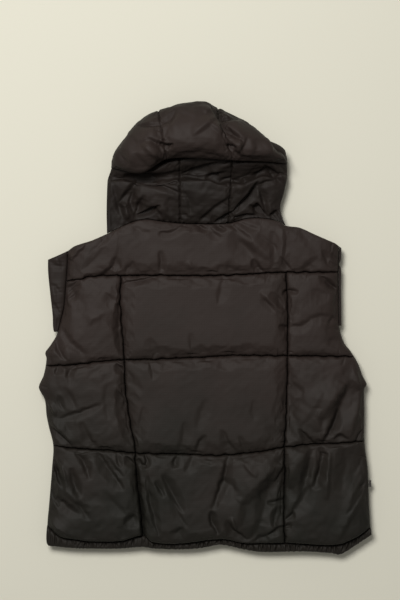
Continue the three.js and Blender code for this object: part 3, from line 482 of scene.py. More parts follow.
RIGHT_PANEL_FOLDS = [
    # lower cell, a fan from one puckered spot in the stitching
    [184, -211, 160, -240, 144, -280, 26, 9], [188, -213, 184, -246, 166, -306, 12, -7],
    [195, -214, 194, -246, 186, -284, 5, 4], [188, -276, 172, -304, 150, -332, 9, -5],
    [208, -216, 205, -248, 192, -284, 7, -8], [221, -216, 217, -252, 215, -302, 6, 6],
    [248, -206, 251, -242, 238, -292, 22, -8], [204, -208, 209, -220, 220, -224, 3, -5],
    [290, -260, 276, -284, 256, -312, 7, -5], [284, -284, 268, -306, 250, -330, 6, -4],
    [290, -280, 266, -314, 244, -352, 9, 5], [141, -341, 150, -332, 159, -323, 4, -5],
    [140, -352, 146, -347, 154, -345, 4, -4], [254, -338, 240, -362, 230, -380, 8, 3],
    # middle cell
    [166, -176, 180, -192, 198, -206, 4, -7], [208, -110, 188, -140, 166, -172, 10, 3],
    [248, -96, 222, -130, 201, -160, 17, 8], [204, -142, 198, -160, 205, -182, 9, 4],
    [262, -92, 240, -134, 213, -186, 13, -8], [236, -136, 221, -168, 206, -200, 5, 6],
    [235, -142, 227, -170, 208, -202, 6, -8], [226, -197, 240, -190, 256, -198, 6, -5],
    [282, -174, 272, -190, 265, -204, 4, -5], [286, -182, 277, -194, 270, -206, 4, 5],
    [280, -128, 268, -156, 256, -192, 7, 3], [267, -54, 270, -84, 277, -108, 6, 3.5],
    [152, -70, 152, -140, 150, -200, 12, -5], [156, -96, 168, -108, 176, -116, 7, -3],
    # upper cell
    [202, 94, 222, 81, 242, 63, 6, -6], [212, 84, 226, 76, 240, 64, 4, -4],
    [146, 2, 170, 5, 188, 15, 6, -4], [178, 15, 205, 22, 230, 20, 6, -3.5],
    [216, 7, 226, 18, 240, 13, 4, -4], [142, 66, 150, 68, 166, 65, 4, -6],
    [218, -25, 228, -20, 242, -22, 7, -2], [190, 70, 204, 62, 222, 58, 9, -2],
]
YOKE_FOLDS = [
    [44, 175, 80, 156, 121, 119, 12, 5], [47, 171, 72, 144, 93, 115, 12, -5],
    [85, 123, 93, 110, 105, 99, 5, -7], [133, 127, 142, 114, 153, 105, 5, -3.5],
    [136, 182, 137, 150, 134, 114, 7, 3.5], [118, 172, 124, 140, 120, 108, 10, -2.5],
    [94, 168, 112, 152, 128, 140, 6, -2.5], [207, 138, 214, 125, 219, 109, 5, -4],
    [225, 134, 232, 122, 239, 110, 4, -4], [220, 119, 230, 112, 240, 106, 4, -3.5],
    [172, 102, 184, 112, 202, 126, 9, -3], [-84, 167, -60, 170, -30, 186, 5, -4],
    [-80, 138, -78, 118, -79, 98, 5, -4.5], [-190, 93, -176, 97, -163, 110, 6, -5],
    [-166, 104, -162, 112, -156, 127, 7, -4], [-218, 102, -197, 120, -174, 146, 11, -3],
    [-144, 98, -135, 108, -125, 118, 6, -2.5], [-240, 116, -230, 133, -210, 151, 5, 3.5],
    [-22, 187, -6, 180, 7, 171, 4, -6], [17, 186, 28, 179, 39, 174, 4, -5],
    [3, 182, 15, 169, 30, 158, 6, -4], [46, 186, 62, 171, 84, 155, 5, -5],
    [38, 112, 50, 105, 66, 101, 6, -3], [-30, 120, -25, 110, -19, 99, 5, 2.5],
    [60, 188, 78, 180, 96, 176, 5, -3], [-130, 182, -112, 172, -96, 170, 7, -2.5],
]


def between(lines, number, share, at):
    """Goes a share of the way from the line of each point's number to the next, both read at a
    grid of places."""
    values = np.stack([line(at) for line in lines])
    first, second = (np.take_along_axis(values, number[None] + k, 0)[0] for k in (0, 1))
    return mix(first, second, share)


def back_plan(across, along, levels):
    """Plan of the back. across runs from 0 to 3 over the three panels, along from 0 upwards over
    the rows. A point lies its share of the way between the side lines at its y, and between the
    level lines at its x."""
    side = np.clip(np.floor(across), 0, 2).astype(int)
    level = np.clip(np.floor(along), 0, len(levels) - 2).astype(int)
    return settle(lambda y: between(BACK_SIDES, side, across - side, y),
                  lambda x: between(levels, level, along - level, x), across.shape)


def gathered(steps, closeness=CLOSENESS):
    """Values 0, 1, 2 ... with a number of steps between each two, closer near the whole values,
    where the stitch lines are."""
    parts = []
    for k, count in enumerate(steps):
        t = np.arange(count) / count
        parts.append(k + t - closeness * np.sin(2 * np.pi * t) / (2 * np.pi))
    return np.append(np.concatenate(parts), len(steps))


def back_sheet(across, along):
    """The whole back as one sheet, raised by the product of the padding's rise across a panel and
    up a row."""
    x, y = back_plan(across, along, BACK_LEVELS)
    in_yoke = along > 3
    edge = rounded_edge(np.minimum(x - BACK_SIDES[0](y), BACK_SIDES[3](y) - x), EDGE_ROUND)
    left_rise = puff(np.clip(across, 0.5, 1))
    right_rise = puff(np.clip(across - 2, 0, 0.5))
    centre_rise = puff(np.clip(across - 1, 0, 1))
    rise = np.where(across < 1, left_rise, np.where(across > 2, right_rise, centre_rise))
    rise = edge * np.where(in_yoke, 1, rise) * puff(along - np.floor(along))
    level = mix(EDGE_HEIGHT, STITCH_HEIGHT, edge)
    loft = np.where(in_yoke, YOKE_LOFT, CELL_LOFT)
    return np.stack([x, y, level + rise * loft], -1)


def simulated_back():
    """How far the simulation moves the back, as a function of along and across."""
    columns, rows = gathered(CLOTH_PANEL_STEPS, 0.3), gathered(CLOTH_LEVEL_STEPS, 0.3)
    across, along = np.meshgrid(columns, rows)
    seams = np.isin(across, (1, 2)) & (along <= 3)
    held = seams | (along == np.round(along)) | np.isin(across, (0, 3))
    sheet = back_sheet(across, along)
    moved = fill_out("back_sheet", sheet, held, BACK_PRESSURE, BACK_EASE, BACK_CAP)
    return reader(moved, rows, columns)


def stitch_relief(x, y, in_yoke):
    """The tucks along the stitch lines and the stitches' own narrow groove."""
    rows = []
    for number, line in enumerate(BACK_LEVELS):
        rows += tucks(line, -280, 280, 20 + number)
    for number, line in enumerate(BACK_SIDES):
        rows += tucks(line, -380, 90 if number in (1, 2) else 150, 40 + number, upright=True)
    near_x, near_y = (x.min() - 20, x.max() + 20), (y.min() - 20, y.max() + 20)
    rows = [row for row in rows
            if near_x[0] < row[2] < near_x[1] and near_y[0] < row[3] < near_y[1]]
    relief = fold_relief(x, y, rows)
    for line in BACK_LEVELS[3:] if in_yoke else BACK_LEVELS[:4]:
        relief += groove(y - line(x), *THREAD_GROOVE)
    for line in BACK_SIDES[::3] if in_yoke else BACK_SIDES:
        relief += groove(x - line(y), *THREAD_GROOVE)
    # the centre panel's left seam gapes where the lowest row bulges over it
    gape = np.clip((LOWER_GAPE - y) / 30.0, 0, 1)
    relief += gape * groove(x - BACK_SIDES[1](y) - 1.5, 3.2, 9.0)
    return relief


def seam_wander(x, y):
    """Small unevenness of the sewing, in x and in y; it dies out at the back's own outline, where
    the next pieces lie."""
    inside = np.min([x - BACK_SIDES[0](y), BACK_SIDES[3](y) - x,
                     y - BACK_LEVELS[0](x), BACK_LEVELS[4](x) - y], axis=0)
    amount = STITCH_WANDER * np.clip(inside / 6.0, 0, 1)
    return amount * noise(x, y, 15.0, 11), amount * noise(x, y, 15.0, 12)


def build_back():
    """The filled sheet, cut at its seams into the yoke and the three quilted panels, each half a
    seam gap short at its edges; and the lines along which its quilting is stitched."""
    moved = simulated_back()
    columns, rows = gathered(PANEL_STEPS), gathered(LEVEL_STEPS)
    cuts = [
        ("back_side_left", 0, 1, 0, 3, LEFT_PANEL_FOLDS),
        ("back_centre", 1, 2, 0, 3, CENTRE_PANEL_FOLDS),
        ("back_side_right", 2, 3, 0, 3, RIGHT_PANEL_FOLDS),
        ("back_yoke", 0, 3, 3, 4, YOKE_FOLDS),
    ]
    pieces = []
    quilting = []
    for name, left, right, low, high, folds in cuts:
        over = columns[(columns >= left) & (columns <= right)]
        up = rows[(rows >= low) & (rows <= high)]
        across, along = np.meshgrid(over, up)
        in_yoke = name == "back_yoke"
        part = back_sheet(across, np.where(in_yoke, np.maximum(along, 3 + 1e-9), along))
        part = creased_back(part + moved(up, over), across, along, folds, in_yoke)
        part[:, 0, 0] += HALF_GAP
        part[:, -1, 0] -= HALF_GAP
        part[0, :, 1] += HALF_GAP
        part[-1, :, 1] -= HALF_GAP
        pieces.append(plain_backed_panel(name + "_shell", part, BACK_INSIDE))
        quilting += [part[row, 2:-2] for row in np.flatnonzero(np.isin(up, (1, 2)))]
    return pieces, quilting


def creased_back(part, across, along, folds, in_yoke):
    """Folds and the filling's slow unevenness need some padding to show in, so they grow with the
    height over the stitches. The face stays a wall's thickness over the plain inner face."""
    x, y, z = np.moveaxis(part, -1, 0)
    padding = np.clip((z - STITCH_HEIGHT) / 10.0, 0.1, 1)
    row = np.clip(np.floor(along), 0, 3).astype(int)
    panel = np.clip(np.floor(across), 0, 2).astype(int)
    broken = crisp(x, y, 70.0, 5) + 0.55 * crisp(x, y, 26.0, 6)
    filling = 0.5 * noise(x, y, 95.0, 3) + CRISPNESS[row, panel] * broken
    folded = FOLD_DEPTH * fold_relief(x, y, folds)
    relief = padding * (folded + filling) + stitch_relief(x, y, in_yoke)
    z = np.maximum(z + relief, BACK_INSIDE + SHELL_WALL)
    step_x, step_y = seam_wander(x, y)
    return np.stack([x + step_x, y + step_y, z], -1)


# ---------------------------------------------------------------- the hood
# From the neck seam, under the overhanging crown, round its lip and over to the top. Each row is
# one line across the hood. part says where it lies in plan: 0 neck seam, 1 lip, 2 top. shift is
# how far it stands past that in y, and skew how far it has moved from the seam places of the
# lower hood to those of the crown. outer and inner are the heights of the two faces in the
# middle, inner shift how far the inner face lies past the outer one in y, sides the share of the
# height left at the hood's sides, and dip how deep the two seams are pressed in.
HOOD_ROWS = np.array([
    # part, shift, skew, outer, inner, inner shift, sides, dip
    [0.00, 0, 0.0, 25.0, 20.0, 0, 1.00, 0],
    [0.08, 0, 0.0, 31.0, 21.0, 0, 0.65, 1],
    [0.22, 0, 0.0, 37.0, 23.0, 0, 0.45, 3],
    [0.42, 0, 0.0, 44.0, 26.0, 0, 0.36, 3],
    [0.65, 0, 0.0, 49.0, 27.0, 0, 0.34, 3],
    [0.75, 0, 0.0, 35.0, 28.0, 0, 0.32, 3],
    [0.97, 0, 0.0, 53.0, 28.5, 0, 0.32, 1],
    [1.00, 15, 0.1, 42.0, 29.0, 5, 0.32, 0],
    [1.00, 27, 0.3, 42.0, 31.0, 11, 0.32, 0],
    [1.00, 30, 0.5, 47.5, 47.0, 17, 0.32, 0],
    [1.00, 27, 0.7, 51.0, 62.0, 9, 0.32, 0],
    [1.00, 14, 0.9, 55.0, 65.0, 12, 0.32, 0],
    [1.00, 3, 1.0, 59.5, 66.2, 17, 0.32, 0],
    [1.00, 0, 1.0, 68.0, 67.2, 18, 0.32, 0],
    [1.00, 5, 1.0, 80.0, 68.6, 16, 0.32, 3],
    [1.20, 0, 1.0, 92.0, 75.0, 7, 0.32, 6],
    [1.32, 0, 1.0, 96.0, 80.0, 4, 0.32, 7],
    [1.45, 0, 1.0, 95.0, 82.0, 2, 0.32, 7],
    [1.58, 0, 1.0, 91.0, 79.0, -1, 0.32, 7],
    [1.72, 0, 1.0, 82.0, 70.0, -4, 0.32, 7],
    [1.86, 0, 1.0, 68.0, 56.0, -8, 0.34, 5],
    [1.96, 0, 1.0, 49.0, 38.0, -10, 0.42, 2],
    [2.00, 0, 1.0, 29.0, 24.0, -6, 0.60, 0],
])
FOLD_ROWS = (6.5, 13.0)          # the stretch of rows that lies hidden in the fold under the lip
# Lines across the hood in plan, x and y at: left edge, mid panel, seam, middle, seam, mid, right.
HOOD_STATIONS = [0, 0.5, 1, 1.5, 2, 2.5, 3]
HOOD_NECK_X = [-174, -106, -44, 0, 42, 92, 143]
LIP_LOWER = [[-166, 285], [-104, 277], [-45, 295], [0, 299], [48, 294], [97, 293], [146, 292]]
LIP_CROWN = [[-166, 285], [-112, 273], [-67, 297], [-10, 299], [47, 295], [97, 294], [146, 292]]
HOOD_TOP = [[-146, 334], [-117, 368], [-83, 387], [-12, 403], [24, 391], [84, 360], [132, 316]]
# How far the two sides of the hood stand out from a straight line, by part.
LEFT_SIDE_BOW = [[0, 0], [0.3, -4], [0.8, -5], [1, 0], [1.5, -5], [2, 0]]
RIGHT_SIDE_BOW = [[0, 0], [0.18, -10], [0.45, -3], [0.7, 1], [1, 0], [1.5, 2], [2, 0]]
# How far the nape's rows slip towards the lip, by station: the valley under the lip isn't level.
VALLEY_SLIP = [[0, 0.12], [0.5, 0.16], [1, 0.02], [1.5, 0], [2, -0.04], [2.5, 0.08], [3, 0.12]]
NECK_GAP = 0.85
HOOD_SIDE_HEIGHT = 12.0
HOOD_SIDE_ROUND = 1.1            # how far in the hood's rounded sides reach, in stations
HOOD_SEAM_REACH = 0.14           # and how far out its seams press it down
HOOD_STEPS = [88, 84, 88]        # cells across the hood's left, centre and right panels
HOOD_SPACING = 1.45              # and their length from row to row
CLOTH_HOOD_STEPS = [20, 22, 20]  # and the same for the coarser sheet that is simulated
CLOTH_HOOD_SPACING = 5.0
HOOD_PRESSURE, HOOD_EASE = 1.2, 0.01
HOOD_CAP = 9.0                   # how far the simulation may move a point
HOOD_PANEL = 105.0               # a panel's mean width

CROWN_FOLDS = [
    [-78, 358, -64, 370, -50, 385, 6, -6], [-119, 357, -95, 358, -73, 358, 3.5, -5],
    [-102, 333, -84, 324, -62, 318, 5, -6], [-130, 339, -120, 322, -98, 329, 6.5, -3],
    [-124, 307, -112, 291, -96, 277, 8.5, -4], [-114, 324, -92, 306, -73, 289, 6, 4],
    [-84, 302, -78, 293, -69, 287, 3.5, -3], [-22, 336, 0, 354, 19, 370, 7, 5],
    [10, 395, 20, 379, 33, 352, 4.5, -9], [26, 358, 44, 342, 69, 326, 6.5, -9],
    [6, 360, 32, 341, 60, 316, 6, 5], [25, 368, 42, 371, 62, 370, 3.5, -6],
    [62, 336, 61, 318, 64, 299, 4.5, 4], [74, 334, 69, 318, 58, 304, 4.5, -4],
    [102, 342, 111, 325, 120, 306, 4.5, 3.5], [88, 332, 92, 316, 84, 299, 7, -2.5],
    [37, 323, 45, 318, 56, 316, 3.5, -6], [-76, 323, -66, 319, -54, 321, 3.5, -7],
    [-42, 307, 0, 302, 42, 299, 6.5, -3], [42, 313, 64, 300, 92, 295, 6, -3],
    [-62, 393, -40, 384, -14, 371, 7, 2.5], [-152, 314, -146, 300, -136, 284, 6.5, -3],
    [36, 392, 52, 380, 70, 372, 5, -3], [-10, 390, 2, 380, 12, 384, 5, 2.5],
]
NAPE_FOLDS = [
    [-144, 271, -90, 263, -42, 259, 11, -11], [-119, 259, -80, 252, -40, 238, 4, -5],
    [-118, 266, -132, 244, -153, 222, 7.5, -8], [-163, 254, -160, 224, -145, 196, 7, -6],
    [-168, 266, -164, 240, -157, 212, 4, 4], [-150, 223, -141, 218, -133, 188, 4, 5],
    [-128, 246, -133, 224, -124, 198, 4, -6], [-122, 230, -119, 212, -126, 194, 3.5, -5],
    [-107, 236, -116, 220, -122, 204, 5, -4], [-123, 199, -104, 206, -79, 218, 4, -11],
    [-97, 217, -84, 206, -75, 194, 5, -3], [-43, 273, 0, 285, 42, 296, 5, -8],
    [-41, 271, 0, 269, 40, 277, 3.5, -6], [6, 268, 26, 262, 47, 268, 3.5, -5],
    [-37, 242, -28, 226, -25, 198, 6, -3], [47, 233, 18, 212, -14, 186, 6, -5],
    [46, 264, 70, 261, 110, 285, 4, -7], [94, 260, 80, 236, 49, 205, 5, -12],
    [53, 209, 34, 197, 12, 184, 4, -7], [95, 252, 103, 228, 109, 199, 5, -6],
    [92, 223, 98, 208, 113, 195, 5, -12], [111, 195, 122, 202, 135, 213, 5, -8],
    [79, 219, 88, 214, 98, 206, 3.5, -4], [49, 196, 74, 201, 100, 200, 3.5, -6],
    [47, 189, 66, 194, 86, 201, 3.5, -4], [104, 290, 124, 272, 143, 250, 5, -6],
    [116, 294, 132, 276, 146, 256, 4, 4], [91, 252, 108, 259, 126, 262, 4, -4],
    [-60, 232, -66, 218, -60, 200, 7.5, -2.5], [58, 238, 68, 252, 86, 263, 7.5, 2],
]


def across_hood(points):
    """A line across the hood in plan, read by station: 0 and 3 are its sides, 1 and 2 its seams."""
    lines = [smooth_line(np.column_stack([HOOD_STATIONS, values])) for values in zip(*points)]
    return lambda station: np.stack([line(station) for line in lines], -1)


def hood_round(station):
    """1 over the middle of the hood, and down to 0 at its two sides on a quarter ellipse."""
    return rounded_edge(np.minimum(station, 3 - station), HOOD_SIDE_ROUND)


def hood_grid(stations, inner=False):
    """One face of the hood: a row of points over the given stations for each of HOOD_ROWS."""
    s = stations[None, :]
    part, shift, skew, outer, under, inner_shift, sides, dip = HOOD_ROWS.T[:, :, None]
    lip = mix(across_hood(LIP_LOWER)(s), across_hood(LIP_CROWN)(s), skew[..., None])
    neck_x = smooth_line(np.column_stack([HOOD_STATIONS, HOOD_NECK_X]))(s)
    neck = np.stack([neck_x, BACK_LEVELS[4](neck_x) + NECK_GAP], -1)
    slip = smooth_line(VALLEY_SLIP)(s) * 4 * part * np.maximum(1 - part, 0)
    below = mix(neck, lip, (part + slip)[..., None])
    above = mix(lip, across_hood(HOOD_TOP)(s), part[..., None] - 1)
    plan = np.where(part[..., None] > 1, above, below)
    reach = mix(0.4, 1, hood_round(s))
    bow = np.maximum(1 - s, 0) * smooth_line(LEFT_SIDE_BOW)(part)
    bow = bow + np.maximum(s - 2, 0) * smooth_line(RIGHT_SIDE_BOW)(part)
    x = plan[..., 0] + bow
    y = plan[..., 1] + shift * reach
    if inner:
        inset = np.minimum(10 * part, 2) * (1 - hood_round(s)) * np.where(s < 1.5, 1, -1)
        x = x + inset
        y = y + inner_shift * reach
        height = under + 0 * s
    else:
        press = [np.exp(-((s - seam) / HOOD_SEAM_REACH) ** 2) for seam in (1, 2)]
        height = outer - dip * sum(press)
    share = mix(sides, 1, hood_round(s))
    return np.stack([x, y, mix(HOOD_SIDE_HEIGHT, height, share)], -1)


def even_places(grid, spacing):
    """Fractional rows that lie evenly along a grid's mean length from row to row."""
    lengths = np.linalg.norm(np.diff(grid, axis=0), axis=-1).mean(1)
    travelled = np.append(0, np.cumsum(lengths))
    count = int(round(travelled[-1] / spacing))
    return np.interp(np.linspace(0, travelled[-1], count + 1), travelled, np.arange(len(grid)))


def simulated_hood():
    """How far the simulation moves the hood's outer face, as a function of row and station. It is
    held at its edges, at its two seams and inside the fold."""
    stations = gathered(CLOTH_HOOD_STEPS, 0.3)
    coarse = hood_grid(stations)
    rows = even_places(coarse, CLOTH_HOOD_SPACING)
    points = resample(coarse, rows, np.arange(len(stations)))
    held = np.zeros(points.shape[:2], bool)
    held[(rows > FOLD_ROWS[0]) & (rows < FOLD_ROWS[1])] = True
    held[[0, -1]] = True
    held[:, stations == np.round(stations)] = True
    moved = fill_out("hood_sheet", points, held, HOOD_PRESSURE, HOOD_EASE, HOOD_CAP)
    return reader(moved, rows, stations)


def build_hood():
    """The hood's three panels, each a closed wall between an outer and an inner face."""
    moved = simulated_hood()
    stations = gathered(HOOD_STEPS)
    rows = even_places(hood_grid(stations), HOOD_SPACING)
    pieces = []
    for number, name in enumerate(("hood_left", "hood_centre", "hood_right")):
        over = stations[(stations >= number) & (stations <= number + 1)]
        columns = np.arange(len(over))
        outer = resample(hood_grid(over), rows, columns) + moved(rows, over)
        outer = push_out(outer, hood_relief(outer, rows, over))
        inner = resample(hood_grid(over, inner=True), rows, columns)
        for face in (outer, inner):
            if number > 0:
                face[:, 0, 0] += HALF_GAP
            if number < 2:
                face[:, -1, 0] -= HALF_GAP
        pieces.append(closed_panel(name + "_shell", outer, inner))
    return pieces


def hood_relief(points, row_places, stations):
    """Folds on the crown and on the nape, puckers along the two seams, a slow unevenness; nothing
    inside the fold, and little at the edges, where the wall is thin."""
    x, y = points[..., 0], points[..., 1]
    row = row_places[:, None] + 0 * x
    station = stations[None, :] + 0 * x
    crown = np.clip((row - 13.0) / 1.2, 0, 1)
    nape = np.clip((6.9 - row) / 0.8, 0, 1)
    folds = crown * fold_relief(x, y, CROWN_FOLDS) + nape * fold_relief(x, y, NAPE_FOLDS)
    folds = FOLD_DEPTH * folds
    ends = np.clip(from_ends(len(row_places)) / 7.0, 0, 1)[:, None]
    sides = np.clip(np.minimum(station, 3 - station) / 0.16, 0, 1)
    unrolled = y + 2 * points[..., 2]
    filling = 0.8 * noise(x, unrolled, 60.0, 7) + 0.7 * crisp(x, unrolled, 46.0, 8)
    filling += 0.3 * crisp(x, unrolled, 24.0, 9)
    relief = (crown + nape) * ends * sides * filling + folds * ends * np.clip(sides, 0.2, 1)
    travelled = np.cumsum(np.linalg.norm(np.gradient(points, axis=0), axis=-1), axis=0)
    rows = []
    for number in (1, 2):
        rows += tucks(lambda at: number * HOOD_PANEL, 0, 520, 60 + number, upright=True)
        relief += (crown + nape) * groove((station - number) * HOOD_PANEL, 1.7, 1.8)
    relief += (crown + nape) * ends * fold_relief(station * HOOD_PANEL, travelled, rows)
    return relief + nape * sides * fold_relief(x, y, tucks(BACK_LEVELS[4], -170, 140, 66))


# ---------------------------------------------------------------- hem and armhole bands
# Lines along the body: [y, x].
LEFT_BAND_EDGE = [[-12, -267], [1, -270], [24, -271], [60, -275], [101, -279], [130, -279]]
RIGHT_BAND_EDGE = [[0, 243], [69, 242], [107, 242], [114, 238.5], [122, 242], [145, 243]]
HEM_POINTS = [150, 300, 150]       # points along the hem under the left, centre and right panels
HEM_ROWS = 14
BAND_FOLDS = [
    [-277, 120, -262, 112, -250, 107, 4, -3], [-278, 80, -266, 74, -252, 59, 5, -3],
    [-275, 53, -266, 40, -254, 20, 4, -3], [-272, 98, -270, 70, -266, 38, 6, 2],
    [-262, 20, -262, 8, -264, -4, 4, -2.5], [-270, 134, -262, 122, -256, 104, 5, 2.5],
]


def gather_relief(along, across, seed):
    """The crush of a band whose cloth is longer than its stitching: narrow ridges across it at an
    uneven pitch of 6 to 14 mm, leaning to and fro, some high and some faint."""
    rng = np.random.default_rng(seed)
    lean = 3.0 * np.sin(along / 23.0 + rng.uniform(0, 6)) * across
    place = along + lean + 3.2 * np.sin(along / 17.0 + rng.uniform(0, 6))
    place = place + 2.1 * np.sin(along / 7.3 + rng.uniform(0, 6))
    ridges = np.abs(np.sin(np.pi * place / 9.0)) ** 0.8 + 0.35 * np.sin(np.pi * place / 3.7)
    strength = 0.55 + 0.45 * np.sin(along / 41.0 + rng.uniform(0, 6)) * np.sin(along / 11.0)
    return (ridges - 0.6) * strength


def crushed(start, stop, seed):
    """Rows for fold_relief: the sharp little pleats across the gathered hem, crowded in some
    places and sparse in others, each with its own lean, width and depth."""
    rng = np.random.default_rng(seed)
    rows = []
    at = start + 2.0
    while at < stop - 2.0:
        low, high = float(HEM_LEVELS[0](at)), float(HEM_LEVELS[1](at))
        lean = rng.uniform(-4.0, 4.0)
        bottom = low + rng.choice((-1.0, 3.0))
        middle = (bottom + high) / 2
        rows.append((at - lean, bottom, at, middle, at + lean, high + 1.0,
                     rng.uniform(1.0, 2.4), -rng.uniform(1.5, 5.5)))
        crowding = 0.5 + 0.5 * np.sin(at / 31.0) * np.sin(at / 12.0 + 1.0)
        at += rng.uniform(2.5, 6.0) + 7.0 * crowding
    return rows


def build_hem():
    """The back hem: a folded band, sewn on along one edge and rounded over at the other. Where a
    pleat reaches the free edge it nicks it."""
    across, v = np.meshgrid(gathered(HEM_POINTS, 0.0), np.linspace(0, 1, HEM_ROWS))
    x, y = back_plan(across, v, HEM_LEVELS)
    body = np.sin(np.pi * np.clip(v, 0, 1)) ** 0.55
    crush = gather_relief(x, v, 81)
    pleats = fold_relief(x, y, crushed(-282, 296, 83))
    wall = mix(3.0, 4.0, v)
    z = BACK_INSIDE + wall + body * (5.2 + 2.4 * crush) + (0.25 + body) * pleats
    y = y - (1 - v) * (1.2 * np.maximum(crush, -0.3) - 0.4 + 0.35 * pleats)
    z = z - 1.5 * np.exp(-((1 - v) * 16 / 2.0) ** 2)
    z = np.maximum(z, BACK_INSIDE + SHELL_WALL)
    y[-1] -= HALF_GAP
    return plain_backed_panel("hem_back_shell", np.stack([x, y, z], -1), BACK_INSIDE)


def band_face(left, right, low, high, under, seed):
    """One face of an armhole band, which is a padded strip with a seam along its inner edge. The
    front half lies face down under the back half."""
    u, v = np.meshgrid(np.linspace(0, 1, 18), np.linspace(0, 1, 76))
    x, y = settle(lambda y: mix(left(y) + HALF_GAP, right(y) - HALF_GAP, u),
                  lambda x: mix(low + 0 * x, high(x) - HALF_GAP, v), u.shape)
    width = np.maximum(right(y) - left(y), 1.0)
    swell = np.sin(np.pi * u) ** 0.6 * puff(v) * np.clip(width / 20, 0.3, 1)
    crush = gather_relief(y, u, seed) * np.clip(width / 20, 0.25, 1)
    rise = 3.0 + swell * (4.0 + 0.9 * crush) + fold_relief(x, y, BAND_FOLDS) * swell
    rise = np.maximum(rise + 0.5 * noise(x, y, 30.0, seed + 1) * swell, SHELL_WALL)
    z = FRONT_INSIDE - rise if under else BACK_INSIDE + rise
    return np.stack([x, y, z], -1)


def build_bands():
    """The two armhole bands, each in a back half and a front half."""
    sides = [
        ("left", smooth_line(LEFT_BAND_EDGE), BACK_SIDES[0], -6.0, 90),
        ("right", lambda y: BACK_SIDES[3](y) + 0.2, smooth_line(RIGHT_BAND_EDGE), 5.0, 94),
    ]
    bands = []
    for under, face in ((False, "back"), (True, "front")):
        level = FRONT_INSIDE if under else BACK_INSIDE
        for side, left, right, low, seed in sides:
            grid = band_face(left, right, low, BACK_LEVELS[4], under, seed + under)
            bands.append(plain_backed_panel(f"armhole_band_{side}_{face}_shell", grid, level))
    return bands


# ---------------------------------------------------------------- fronts
FRONT_NECKLINE = [
    [-174, 168], [-150, 168], [-134, 160], [-120, 145], [-95, 122], [-60, 104], [-30, 95],
    [-9, 88], [9, 88], [30, 95], [60, 104], [95, 122], [112, 145], [124, 165], [136, 182],
    [143, 183],
]
FRONT_HEM_WIDTH = 12.0
FRONT_QUILTING = -160.0, -15.0, 95.0  # the fronts' own stitch lines, in y
ZIP_HALF_WIDTH = 9.0
TAPE_LOW = 12.5
EDGE_WALL = 3.0                  # how thick a front is at its rounded edges
ARMHOLE_START = -60.0            # from this y up the fronts leave room for the armhole bands
FRONT_FOLDS = [
    [-262, -120, -240, -150, -205, -176, 8, -4], [-258, -300, -236, -330, -204, -352, 8, -4],
    [-120, -190, -90, -230, -70, -290, 10, -4], [-40, -60, -60, -100, -58, -150, 9, -3],
    [-210, 40, -180, 20, -150, -8, 8, -3.5], [262, -130, 236, -168, 210, -186, 8, -4],
    [270, -310, 240, -340, 200, -356, 8, -4], [130, -190, 100, -236, 84, -300, 10, -4],
    [48, -70, 64, -110, 60, -150, 9, -3], [206, 44, 178, 22, 150, -4, 8, -3.5],
    [-190, -200, -200, -240, -180, -280, 9, -4], [176, -210, 190, -250, 176, -290, 9, -4],
]


def front_grid(side, low, high, columns, rows):
    """One front piece's underside, from 0 where it rests and rising as a round to each edge. The
    stitch lines, puckers and folds lift it off the table, and nothing goes below."""
    zip_edge = ZIP_HALF_WIDTH + 2 * HALF_GAP
    u, v = np.meshgrid(gathered([columns], 0.4), gathered([rows], 0.4))

    def find_x(y):
        ease = np.clip((y - ARMHOLE_START) / 40, 0, 1)
        if side < 0:
            return mix(BACK_SIDES[0](y) + ease + HALF_GAP, -zip_edge + 0 * y, u)
        return mix(zip_edge + 0 * y, BACK_SIDES[3](y) - ease - HALF_GAP, u)

    x, y = settle(find_x, lambda x: mix(low(x) + HALF_GAP, high(x) - HALF_GAP, v), u.shape)
    edge = FRONT_INSIDE - EDGE_WALL
    from_side = np.minimum(x - BACK_SIDES[0](y), BACK_SIDES[3](y) - x)
    lifts = [
        edge * (1 - rounded_edge(from_side, 34)),
        (TAPE_LOW - 1) * (1 - rounded_edge(np.abs(x) - ZIP_HALF_WIDTH, 16)),
        edge * (1 - rounded_edge(front_top(x) - y, 22)),
        edge * (1 - rounded_edge(y - HEM_LEVELS[0](x), 18)),
    ]
    z = np.max(lifts, axis=0)
    rows = tucks(BACK_SIDES[0], -380, 150, 110, upright=True)
    rows += tucks(BACK_SIDES[3], -380, 150, 111, upright=True)
    rows += tucks(lambda at: side * ZIP_HALF_WIDTH, -380, 90, 112, upright=True)
    quilted = 0 * x
    for number, quilting in enumerate(FRONT_QUILTING):
        off = np.abs(y - quilting - 5 * np.sin(x / 70))
        quilted += 5.0 * np.exp(-(off / 7.0) ** 1.1)
        rows += tucks(lambda at: quilting + 5 * np.sin(at / 70), -270, 270, 100 + number)
    relief = np.maximum(-fold_relief(x, y, FRONT_FOLDS + rows), 0) + quilted
    room = np.clip((FRONT_INSIDE - 1.6 - z) / 6, 0, 1)
    z = np.clip(z + relief * room, 0, FRONT_INSIDE - 1.2)
    return np.stack([x, y, z], -1)


def front_top(x):
    """The fronts end at the neckline, or under the back's top line where that is lower."""
    return np.minimum(BACK_LEVELS[4](x), smooth_line(FRONT_NECKLINE)(x))


def front_hem_seam(x):
    """The seam of the fronts' hem bands, one band's width over the hem's edge."""
    return HEM_LEVELS[0](x) + FRONT_HEM_WIDTH


def build_fronts():
    """The left and right front, from the hem's seam to the neckline."""
    fronts = []
    for name, side in (("left", -1), ("right", 1)):
        grid = front_grid(side, front_hem_seam, front_top, 96, 170)
        fronts.append(plain_backed_panel(f"front_{name}_shell", grid, FRONT_INSIDE))
    return fronts


